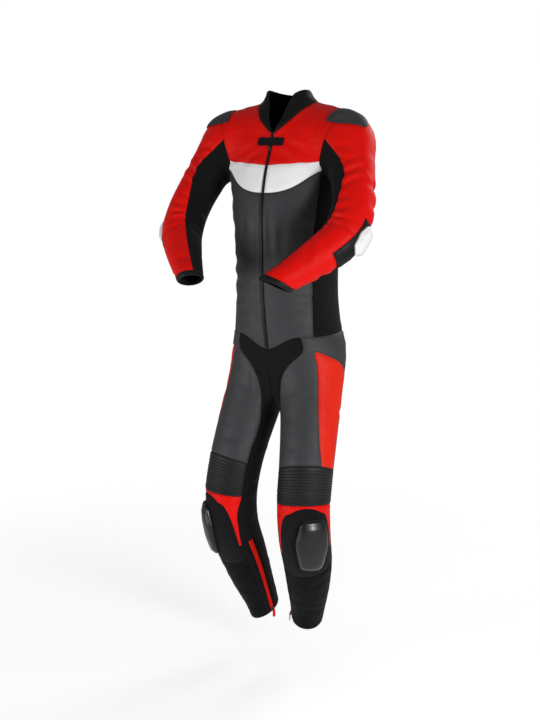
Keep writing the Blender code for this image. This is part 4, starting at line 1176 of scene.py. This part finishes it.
def stations(line, facings, pitch):
    """Even places along a line, with the directions along and out there."""
    run = run_along(line)
    count = max(2, int(run[-1] / pitch))
    at = (np.arange(count) + 0.5) * run[-1] / count
    out = unit(read_along(facings, run, at))
    along = unit(read_along(line, run, at + pitch / 4) - read_along(line, run, at - pitch / 4))
    along = unit(along - (along * out).sum(-1, keepdims=True) * out)
    return read_along(line, run, at), along, out


class Sewing:
    """Stitches gathered from the panels' edges, made into one piece for each thread."""

    def __init__(self):
        self.seams = {}

    def along(self, panels, thread_name, insets=(3.0,)):
        """Stitch inside the edges of panels, at insets in mm, on the outside of their cloth."""
        for _, cloth in panels:
            skin = BVHTree.FromPolygons(cloth.outside.tolist(), cloth.quads.tolist())
            for loop in cloth.loops():
                loop = np.append(loop, loop[0])
                for inset in insets:
                    line = cloth.outside[loop] + cloth.inward[loop] * inset * MM
                    place, _, out = self.line(line, cloth.facing[loop], thread_name)
                    place[:] = [skin.find_nearest(Vector(spot))[0] for spot in place]
                    place += out * STITCH_LIFT

    def line(self, line, facings, thread_name):
        """Stitch along a line, and give back the stitches' places and directions."""
        found = stations(line, facings, settings().stitch_pitch)
        self.seams.setdefault(thread_name, []).append(found)
        return found

    def sew(self):
        length = settings().stitch_pitch * STITCH_SHARE
        shape = SPINDLE * (length / 2, THREAD_WIDTH, THREAD_WIDTH)
        for thread_name, found in self.seams.items():
            places, alongs, facings = (np.concatenate(part) for part in zip(*found))
            name = "stitching_" + thread_name.split()[0]
            strewn(name, places, alongs, facings, shape, SPINDLE_FACES, thread_name)


# Width over both rows, pitch and height of the zips' teeth
FRONT_TEETH = (4.4 * MM, 2.2 * MM, 1.5 * MM)
CALF_TEETH = (5.2 * MM, 2.4 * MM, 1.6 * MM)


def teeth(name, line, facings, width, pitch, height, finish):
    """Two rows of zip teeth that take turns along a closed zip."""
    places, alongs, out = stations(line, facings, pitch)
    side = np.cross(out, alongs) * width / 4
    turn = np.where(np.arange(len(places)) % 2, 1, -1)[:, None]
    shape = tooth(pitch * 1.1, width * 0.62, height)
    strewn(name, places + side * turn, alongs, out, shape, TOOTH_FACES, finish)


# The suit's parts ---------------------------------------------------------------------
class Suit:
    """The net in fine lines, and the sewing, shared by the operators."""

    def __init__(self):
        depth_share = settings().crease_depth
        self.creases = [(line, width, depth * depth_share) for line, width, depth in crease_lines()]
        self.low = sum(row[-1] for row in TORSO_KEYS)
        self.band = self.low + ARMHOLE_STEPS[0]
        self.top = self.low + sum(ARMHOLE_STEPS)
        front, side, back = torso_net()
        self.coarse_arm, self.coarse_leg = arm_net(front, back, side), leg_net(front, side, back)
        torso = self.fine_torso(front, side, back)
        self.front, self.side, self.back = (Block(part, self.creases) for part in torso)
        self.arm = Block(self.fine_arm(*torso), self.creases)
        self.leg = Block(self.fine_leg(*torso), self.creases)
        self.collar = Block(self.fine_collar(front[-1], back[-1], torso), []).whole(False)
        self.sewing = Sewing()

    def fine_torso(self, front, side, back):
        """The torso's blocks in fine lines. Neighbours share a line, so that the seams close."""
        front, side, back = finely(front), finely(side), finely(back)
        side[:, 0], side[:, -1] = front[: len(side), -1], back[: len(side), 0]
        back[-1, : (FRONT_COLS - NECK_COLS) * PARTS + 1] = front[-1, NECK_COLS * PARTS :][::-1]
        return front, side, back

    def fine_arm(self, front, side, back):
        """The sleeve in fine lines, from the armhole's own."""
        low = self.low * PARTS
        hole = np.concatenate([front[low:, -1], back[low:, 0][::-1][1:], side[-1][::-1][1:-1]])
        hole = np.roll(hole, -PEAK_COL * PARTS, axis=0)
        return meet(finely(self.coarse_arm, ring=True), np.concatenate([hole, hole[:1]]))

    def fine_leg(self, front, side, back):
        """The leg in fine lines, from the hip seam's own and the middle of the crotch."""
        leg = finely(self.coarse_leg, ring=True)
        hip = np.concatenate([front[0], side[0][1:], back[0][1:]])
        rim = leg[0].copy()
        rim[(np.arange(len(hip)) - WING_COL * PARTS) % (len(rim) - 1)] = hip
        rim[-1] = rim[0]
        return meet(leg, rim)

    def fine_collar(self, front, back, torso):
        """Half the collar in fine lines, from the neck's seam: the last rows of the front and the back."""
        beside = FRONT_COLS - NECK_COLS
        seam = np.concatenate([front[: NECK_COLS + 1], back[beside + 1 :]])
        edge = line_on_form(COLLAR_TOP, len(seam) - 1, ZIP_HALF)
        half = onto_form(np.linspace(seam, edge, COLLAR_ROWS + 1))
        front, back = torso[0][-1], torso[2][-1]
        seam = np.concatenate([front[: NECK_COLS * PARTS + 1], back[beside * PARTS + 1 :]])
        return meet(finely(half), seam)


def settings():
    return bpy.context.scene.race_suit


SUIT = None


def suit():
    global SUIT
    if SUIT is None:
        SUIT = Suit()
    return SUIT


class RaceSuitSettings(bpy.types.PropertyGroup):
    """Sizes and colours of the race suit's finish."""

    crease_depth: FloatProperty(
        name="Crease depth", description="How deep the worn creases are, as a share of their own depths",
        default=1.0, min=0.0, max=2.0, subtype="FACTOR",
    )
    stitch_pitch: FloatProperty(
        name="Stitch pitch", description="Length from one topstitch to the next",
        default=0.0034, min=0.002, max=0.008, unit="LENGTH",
    )
    floor_drop: FloatProperty(
        name="Floor height", description="Height of the studio floor", default=-1.385, unit="LENGTH",
    )
    world_colour: FloatVectorProperty(
        name="Backdrop colour", description="Colour of the studio around the suit",
        default=(1.0, 1.0, 1.0), size=3, subtype="COLOR",
    )


class SUIT_OT_body(bpy.types.Operator):
    """Makes the panels of the suit's body, from the yoke to the hips, with the front zip"""

    bl_idname = "suit.body"
    bl_label = "Body panels"

    def execute(self, context):
        net = suit()
        front, low, band, top = net.front, net.low, net.band, net.top
        middle = [(0, top, FRONT_COLS - 1, FRONT_COLS + 1)]
        strip, _ = cloth_piece("zip_front", front.whole(True), middle, STRETCH, "zip tape", roll=0.0,
                               declared=False)
        area = [(0, low, 1, FRONT_COLS)]
        fronts = [
            cloth_piece("front_left", front, area, LEATHER, "charcoal leather", with_pieces=[strip]),
            cloth_piece("front_right", front.mirrored(), area, LEATHER, "charcoal leather"),
        ]
        bands = pair("chest_band", front, [(low, band, 1, FRONT_COLS)], LEATHER, "white leather")
        yokes = pair("yoke_front", front, [(band, top, 1, FRONT_COLS)], LEATHER, "red leather")
        pair("side", net.side, [(0, low, 0, SIDE_COLS)], STRETCH, "stretch", held="stretched")
        wide = net.back.whole(False)
        back = cloth_piece("back", wide, [(0, band, 0, 2 * BACK_COLS)], LEATHER, "charcoal leather")
        yoke_back = cloth_piece("yoke_back", wide, [(band, top, 0, 2 * BACK_COLS)], LEATHER, "red leather")
        net.sewing.along([*fronts, back], "black thread")
        net.sewing.along(bands, "white thread")
        net.sewing.along([*yokes, yoke_back], "red thread", insets=(2.6, 7.0))
        teeth("front_zip_teeth", *front.line_up(slice(0, top * PARTS + 1), 0), *FRONT_TEETH, "tooth plastic")
        return {"FINISHED"}


# The closure tab and the front zip's slider, in mm as the hard pieces further down are
TAB_PLACE = (0, -0.100, -0.054)
TAB_OUTLINE = ((-35, -10.2), (35, -10.2), (35, 10.2), (-35, 10.2))
TAB_PROFILE = ((1.0, 2.3), (1.0, 3.0), (0.985, 3.5), (0.955, 3.8), (0.90, 3.65), (0.6, 3.8), (0.2, 3.8))
TAB_STITCH_SHARE, TAB_STITCH_HEIGHT = 0.90, 3.72 * MM
SLIDER_PLACE = (0, -0.110, -0.066)
SLIDER_OUTLINE = ((-3.6, 3), (3.6, 3), (2.6, -5.5), (-2.6, -5.5))
SLIDER_PROFILE = ((1.0, 1.6), (1.0, 3.4), (0.9, 3.9), (0.5, 4.1))


class SUIT_OT_collar(bpy.types.Operator):
    """Makes the standing collar, its closure tab and the foot of the front zip's slider"""

    bl_idname = "suit.collar"
    bl_label = "Collar and closure tab"

    def execute(self, context):
        net = suit()
        cols = (net.collar.points.shape[1] - 1) // PARTS
        area = [(0, COLLAR_ROWS, 0, cols)]
        collar = cloth_piece("collar", net.collar, area, COLLAR_WALL, "collar leather")
        net.sewing.along([collar], "black thread", insets=(3.2,))
        outline = rounded_outline(TAB_OUTLINE, 0.12)
        puck("collar_tab", "collar_tab", TAB_PLACE, UP, outline, TAB_PROFILE, 1.6, "collar leather")
        centre, across, up = frame_on_form(TAB_PLACE, UP)
        inner = np.append(outline, outline[:1], axis=0) * TAB_STITCH_SHARE * MM
        line = onto_form(centre + inner[:, :1] * across + inner[:, 1:] * up)
        out = normals(line)
        net.sewing.line(line + out * TAB_STITCH_HEIGHT, out, "black thread")
        foot = rounded_outline(SLIDER_OUTLINE, 0.25, 32)
        puck("front_zip_slider", None, SLIDER_PLACE, UP, foot, SLIDER_PROFILE, 1.2, "dark metal")
        return {"FINISHED"}


class SUIT_OT_sleeves(bpy.types.Operator):
    """Makes both sleeves with their elbow patches, gussets and cuffs"""

    bl_idname = "suit.sleeves"
    bl_label = "Sleeves"

    def execute(self, context):
        net = suit()
        arm, at = net.arm, ring_rows(ARM_KEYS, FAN_ROWS, -2)
        # Columns of the patch's two edges and of the inner panel's back seam; its front seam is at 0
        patch_front, patch_back, seam = np.cumsum(SLEEVE_COLS)
        last = (arm.points.shape[1] - 1) // PARTS
        top, elbow, foot, wrist, cuff = (at[k] for k in ("patch_top", "elbow", "patch_foot", "wrist", "cuff"))
        above = [(0, top, 0, seam), (top, elbow, 0, patch_front), (top, elbow, patch_back, seam)]
        upper = pair("sleeve_upper", arm, above, LEATHER, "red leather")
        below = [(elbow, foot, 0, patch_front), (elbow, foot, patch_back, seam), (foot, wrist, 0, seam)]
        lower = pair("sleeve_lower", arm, below, LEATHER, "red leather")
        patch = pair("elbow_patch", arm, [(top, foot, patch_front, patch_back)], LEATHER, "black leather")
        pair("sleeve_inner", arm, [(0, at["forearm"], seam, last)], STRETCH, "stretch", held="stretched")
        gusset = pair("wrist_gusset", arm, [(at["forearm"], wrist, seam, last)], LEATHER, "black leather")
        cuffs = pair("cuff", arm, [(wrist, cuff, 0, last)], LEATHER, "black leather", around=True)
        net.sewing.along(upper + lower, "red thread", insets=(2.6,))
        net.sewing.along(patch + gusset + cuffs, "black thread")
        return {"FINISHED"}


# Fine rows to a rib, how much of the wall above the first rib is plain, in ribs, and how high that
# is as a share of a rib; how high a rib is as a share of its ridge in the solid
RIB_LINES, RIB_PLAIN, RIB_PLAIN_HEIGHT, RIB_SHARE = 7, 1.4, 0.35, 0.75
# How far the ribbed cloth stands out of its neighbours
RIB_LIFT = 0.2 * MM
# How uneven a rib's height is along it, in how many swells, and how short its ends fade
RIB_UNEVEN, RIB_SWELLS, RIB_ENDS = 0.25, 9, 14


def ribbed_block(ribs, foot, last):
    """The stretch of leg from one row to another with its ribs, and its number of rows."""
    leg, cols = suit().leg, slice(0, last * PARTS + 1)
    rows = np.linspace(ribs, foot, RIB_LINES * RIDGES + 1)
    grid = finely(suit().coarse_leg, rows, ring=True)[:, cols]
    grid[0], grid[-1] = leg.points[ribs * PARTS, cols], leg.points[foot * PARTS, cols]
    turn = (rows - ribs) / (foot - ribs) * (RIDGES + RIB_PLAIN) - RIB_PLAIN
    wave = np.where(turn > 0, 0.5 - 0.5 * np.cos(2 * math.pi * turn), RIB_PLAIN_HEIGHT)
    wave = wave[:, None] * RIDGE_HEIGHT * RIB_SHARE
    across = np.linspace(0, 1, grid.shape[1])
    uneven = 1 - RIB_UNEVEN * np.sin(RIB_SWELLS * across + 1.3 * np.floor(turn)[:, None]) ** 2
    ends = np.minimum(1, np.minimum(across, 1 - across) * RIB_ENDS)
    return Block(grid, suit().creases, parts=(1, PARTS), extra=wave * uneven * ends), len(rows) - 1


class SUIT_OT_legs(bpy.types.Operator):
    """Makes both legs with their ribbed panels, knee panels and calf zips"""

    bl_idname = "suit.legs"
    bl_label = "Legs"

    def execute(self, context):
        net = suit()
        leg, at = net.leg, ring_rows(LEG_KEYS, HIP_ROWS, -3)
        # Columns of the knee panel's edges, the thigh side's front seam between them and the back seams
        knee_in, thigh, knee_out, back_out, back_in = np.cumsum(LEG_SECTORS)
        last = (leg.points.shape[1] - 1) // PARTS
        tape, beyond = (last + 1 + col for col in ZIP_COLS)
        ribs, foot, arch, tip = at["ribs_top"], at["ribs_foot"], at["arch"], at["tip"]
        knee, hem = at["knee_foot"], at["hem"]
        area = [(0, ribs, 0, thigh), (0, 1, thigh, back_out)]
        front = pair("thigh_front", leg, area, LEATHER, "charcoal leather")
        # The side panels take the red leather painted lighter: a painted highlight of the light on the
        # thighs.
        side = pair("thigh_side", leg, [(1, ribs, thigh, back_out)], LEATHER, "red leather painted lighter")
        back = pair("thigh_back", leg, [(0, foot, back_out, back_in)], LEATHER, "charcoal leather")
        area = [(0, tip, back_in, last), (tip, hem, back_in, tape), (tip, hem, beyond, last)]
        pair("leg_inner", leg, area, STRETCH, "stretch", held="stretched")
        pair("calf_zip", leg, [(tip, hem, tape, beyond)], STRETCH, "red tape", roll=0.5)
        area = [(foot, arch, 0, back_out), (arch, tip, 0, knee_in), (arch, tip, knee_out, back_out)]
        around = pair("knee_surround", leg, area, LEATHER, "red leather")
        area = [(arch, tip, knee_in, knee_out), (tip, knee, 0, back_out)]
        pair("knee_panel", leg, area, STRETCH, "stretch", held="stretched")
        shin = pair("shin", leg, [(knee, hem, 0, back_out)], LEATHER, "shin leather")
        calf = pair("calf_back", leg, [(foot, hem, back_out, back_in)], LEATHER, "shin leather")
        block, rows = ribbed_block(ribs, foot, back_out)
        ribbed = pair("knee_ribs", block, [(0, rows, 0, back_out)], LEATHER, "ribbed leather", lift=RIB_LIFT)
        net.sewing.along(front + back + shin + calf + ribbed, "black thread")
        net.sewing.along(side + around, "red thread", insets=(2.6, 6.6))
        line, out = leg.line_up(slice(tip * PARTS, hem * PARTS - 1), (tape + 1) * PARTS)
        for name, flip in (("left", 1), ("right", -1)):
            turned = np.array([flip, 1, 1])
            teeth("calf_zip_teeth_" + name, line * turned, out * turned, *CALF_TEETH, "red plastic")
        return {"FINISHED"}


# Outlines in mm, across and up. A profile's rows are a share of the outline and the height there, mm
CUP_OUTLINE = (
    (-59, 43), (-30, 46), (9, 46), (36, 43), (51, 31), (52, 8), (41, -22), (22, -41), (0, -45), (-24, -22),
    (-49, 11),
)
CUP_PROFILE = (
    (1.0, 2.7), (1.0, 3.6), (0.985, 4.3), (0.95, 4.8), (0.91, 4.7), (0.87, 5.4), (0.8, 6.0), (0.6, 6.6),
    (0.4, 6.9), (0.2, 7.0),
)
CUP_UP = (-0.8, 0, 0.6)
ELBOW_OUTLINE = ((-20, 35), (20, 35), (32, 8), (25, -27), (0, -36), (-25, -27), (-32, 8))
ELBOW_PROFILE = (
    (1.0, 3.0), (1.0, 6.5), (0.97, 8.0), (0.93, 8.6), (0.86, 9.6), (0.80, 12.2), (0.76, 13.2), (0.68, 13.6),
    (0.4, 14.0), (0.2, 14.0),
)
# Share of the arm's length and angle round it, and height on the leg and angle round it
ELBOW_PLACE, KNEE_PLACE = (0.525, 6), (-1.013, 47)
KNEE_OUTLINE = ((-34, 68), (34, 68), (48, 12), (31, -68), (-28, -68), (-48, 12))
KNEE_PROFILE = (
    (1.0, 3.6), (1.0, 7.0), (0.985, 8.4), (0.955, 9.4), (0.91, 10.0), (0.84, 11.6), (0.79, 13.0),
    (0.74, 13.6), (0.5, 14.0), (0.2, 14.0),
)
KNEE_CROWN = (0, -14)
KNEE_BASE_OUTLINE = ((-31, 71), (31, 71), (49, 14), (34, -63), (-32, -63), (-49, 14))
KNEE_BASE_PROFILE = ((1.0, 2.4), (0.985, 3.0), (0.5, 3.2))


class SUIT_OT_hard_pieces(bpy.types.Operator):
    """Makes the shoulder cups, the elbow sliders and the knee sliders"""

    bl_idname = "suit.hard_pieces"
    bl_label = "Cups and sliders"

    def execute(self, context):
        cup = rounded_outline(CUP_OUTLINE, 0.16, 110)
        puck("shoulder_cup", "shoulder_cup", CUP_PLACE, CUP_UP, cup, CUP_PROFILE, 2.5, "cup plastic")
        arm, ring = suit().coarse_arm, ring_rows(ARM_KEYS, FAN_ROWS, -2)
        column = SLEEVE_COLS[0] + SLEEVE_COLS[1] // 2
        up = arm[ring["patch_top"], column] - arm[ring["elbow"], column]
        elbow, outline = arm_point(*ELBOW_PLACE)[0], rounded_outline(ELBOW_OUTLINE, 0.2)
        puck("elbow_slider", "elbow_slider", elbow, up, outline, ELBOW_PROFILE, 2.2, "white plastic")
        knee, base = leg_point(*KNEE_PLACE)[0], rounded_outline(KNEE_BASE_OUTLINE, 0.25)
        puck("knee_slider_base", None, knee, UP, base, KNEE_BASE_PROFILE, 1.6, "base plastic")
        outline = rounded_outline(KNEE_OUTLINE, 0.2, 96)
        puck("knee_slider", "knee_slider", knee, UP, outline, KNEE_PROFILE, 2.0, "slider plastic", KNEE_CROWN)
        return {"FINISHED"}


class SUIT_OT_zip_pulls(bpy.types.Operator):
    """Gives the calf zips' sliders and pull tabs their finishes"""

    bl_idname = "suit.zip_pulls"
    bl_label = "Calf zip pulls"

    def execute(self, context):
        for side in ("left", "right"):
            for name, finish in (("zip_slider_", "dark metal"), ("zip_pull_", "red leather")):
                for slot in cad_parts[name + side].material_slots:
                    slot.material = finish_of(finish)
        return {"FINISHED"}


class SUIT_OT_sewing(bpy.types.Operator):
    """Sews the topstitching along the panels' edges"""

    bl_idname = "suit.sewing"
    bl_label = "Topstitching"

    def execute(self, context):
        suit().sewing.sew()
        return {"FINISHED"}


# The floor is a round sheet of rings of so many sides about the suit's axis
FLOOR_RINGS, FLOOR_SIDES = (0.5, 1.0, 1.8, 3.0), 96
# The backdrop's strength as a light, and as it's seen
SKY_LIGHT, SKY_SEEN = 0.24, 1.0
LIGHT_AIM = (0, 0, -0.68)
# Name, place, width, spread in degrees, watts
LIGHTS = (
    ("key light", (-1.8, -2.5, -0.85), 1.6, 70, 8.5),
    ("fill light", (2.9, -1.2, -0.5), 1.1, 80, 15),
    ("top light", (0.1, -0.2, 2.2), 1.4, 180, 4),
    ("back light", (0.6, 2.8, 0.9), 1.6, 180, 22),
)
# Turn about the upright axis and rise, in degrees, about the point aimed at and away from it
CAMERA_TURN, CAMERA_RISE = 30.0, 10.0
CAMERA_AIM, CAMERA_AWAY = (0, 0, -0.60), 3.05
# Focal length and sensor width in mm, and the picture's shift as a share of its width
CAMERA_LENS, CAMERA_SENSOR, CAMERA_SHIFT = 60.5, 36.0, -0.025


class SUIT_OT_stage(bpy.types.Operator):
    """Sets the floor, the lights, the backdrop and the camera"""

    bl_idname = "suit.stage"
    bl_label = "Studio"

    def execute(self, context):
        scene = context.scene
        self.lay_floor(scene)
        self.light_backdrop(scene)
        for light in LIGHTS:
            self.hang_light(scene, *light)
        data = bpy.data.cameras.new("camera")
        data.lens, data.sensor_width, data.shift_x = CAMERA_LENS, CAMERA_SENSOR, CAMERA_SHIFT
        camera = bpy.data.objects.new("camera", data)
        turn, rise = CAMERA_TURN * DEG, CAMERA_RISE * DEG
        away = Vector((math.sin(turn) * math.cos(rise), -math.cos(turn) * math.cos(rise), math.sin(rise)))
        camera.location = Vector(CAMERA_AIM) + CAMERA_AWAY * away
        camera.rotation_euler = away.to_track_quat("Z", "Y").to_euler()
        scene.collection.objects.link(camera)
        scene.camera = camera
        scene.view_settings.view_transform = "Standard"
        return {"FINISHED"}

    def lay_floor(self, scene):
        angle = np.linspace(0, 2 * math.pi, FLOOR_SIDES, endpoint=False)
        circle = np.column_stack([np.cos(angle), np.sin(angle), 0 * angle])
        points = np.concatenate([radius * circle for radius in FLOOR_RINGS] + [np.zeros((1, 3))])
        points += np.array([0, 0, settings().floor_drop])
        middle = len(points) - 1
        at = np.arange(middle).reshape(-1, FLOOR_SIDES)
        beyond = np.roll(at, -1, axis=1)
        faces = np.stack([at[:-1], at[1:], beyond[1:], beyond[:-1]], axis=-1).reshape(-1, 4).tolist()
        faces += [(int(a), int(b), middle) for a, b in zip(at[0], beyond[0])]
        mesh = bpy.data.meshes.new("floor")
        mesh.from_pydata(points.tolist(), [], faces)
        mesh.materials.append(finish_of("floor"))
        mesh.shade_smooth()
        floor = bpy.data.objects.new("floor", mesh)
        scene.collection.objects.link(floor)
        floor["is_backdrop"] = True

    def light_backdrop(self, scene):
        """The backdrop is white to look at, and lights the suit as softly as a shaded studio wall."""
        world = bpy.data.worlds.new("studio")
        world.use_nodes = True
        tree = world.node_tree
        sky = tree.nodes["Background"]
        sky.inputs["Color"].default_value = (*settings().world_colour, 1)
        seen = node(tree, "ShaderNodeLightPath").outputs["Is Camera Ray"]
        strength = node(tree, "ShaderNodeMapRange", Value=seen, To_Min=SKY_LIGHT, To_Max=SKY_SEEN)
        tree.links.new(strength.outputs[0], sky.inputs["Strength"])
        scene.world = world

    def hang_light(self, scene, name, place, size, spread, power):
        lamp = bpy.data.lights.new(name, "AREA")
        lamp.shape, lamp.size, lamp.energy, lamp.spread = "DISK", size, power, spread * DEG
        light = bpy.data.objects.new(name, lamp)
        light.location = place
        light.rotation_euler = (Vector(place) - Vector(LIGHT_AIM)).to_track_quat("Z", "Y").to_euler()
        scene.collection.objects.link(light)


class SUIT_PT_panel(bpy.types.Panel):
    """Lists the race suit's steps and settings"""

    bl_label = "Race suit"
    bl_idname = "SUIT_PT_panel"
    bl_space_type = "VIEW_3D"
    bl_region_type = "UI"
    bl_category = "Race suit"

    def draw(self, context):
        for name in RaceSuitSettings.__annotations__:
            self.layout.prop(context.scene.race_suit, name)
        for step in OPERATORS:
            self.layout.operator(step.bl_idname)


OPERATORS = (
    SUIT_OT_body, SUIT_OT_collar, SUIT_OT_sleeves, SUIT_OT_legs, SUIT_OT_hard_pieces, SUIT_OT_zip_pulls,
    SUIT_OT_sewing, SUIT_OT_stage,
)
CLASSES = (RaceSuitSettings, *OPERATORS, SUIT_PT_panel)


def register():
    for cls in CLASSES:
        bpy.utils.register_class(cls)
    bpy.types.Scene.race_suit = PointerProperty(type=RaceSuitSettings)


def unregister():
    del bpy.types.Scene.race_suit
    for cls in reversed(CLASSES):
        bpy.utils.unregister_class(cls)


def main():
    register()
    for step in OPERATORS:
        group, name = step.bl_idname.split(".")
        getattr(getattr(bpy.ops, group), name)()
    boxes = {"cad": CAD_BOX, "scene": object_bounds()}
    sizes = {name: [[round(float(c), 5) for c in corner] for corner in box] for name, box in boxes.items()}


if __name__ == "__main__":
    main()
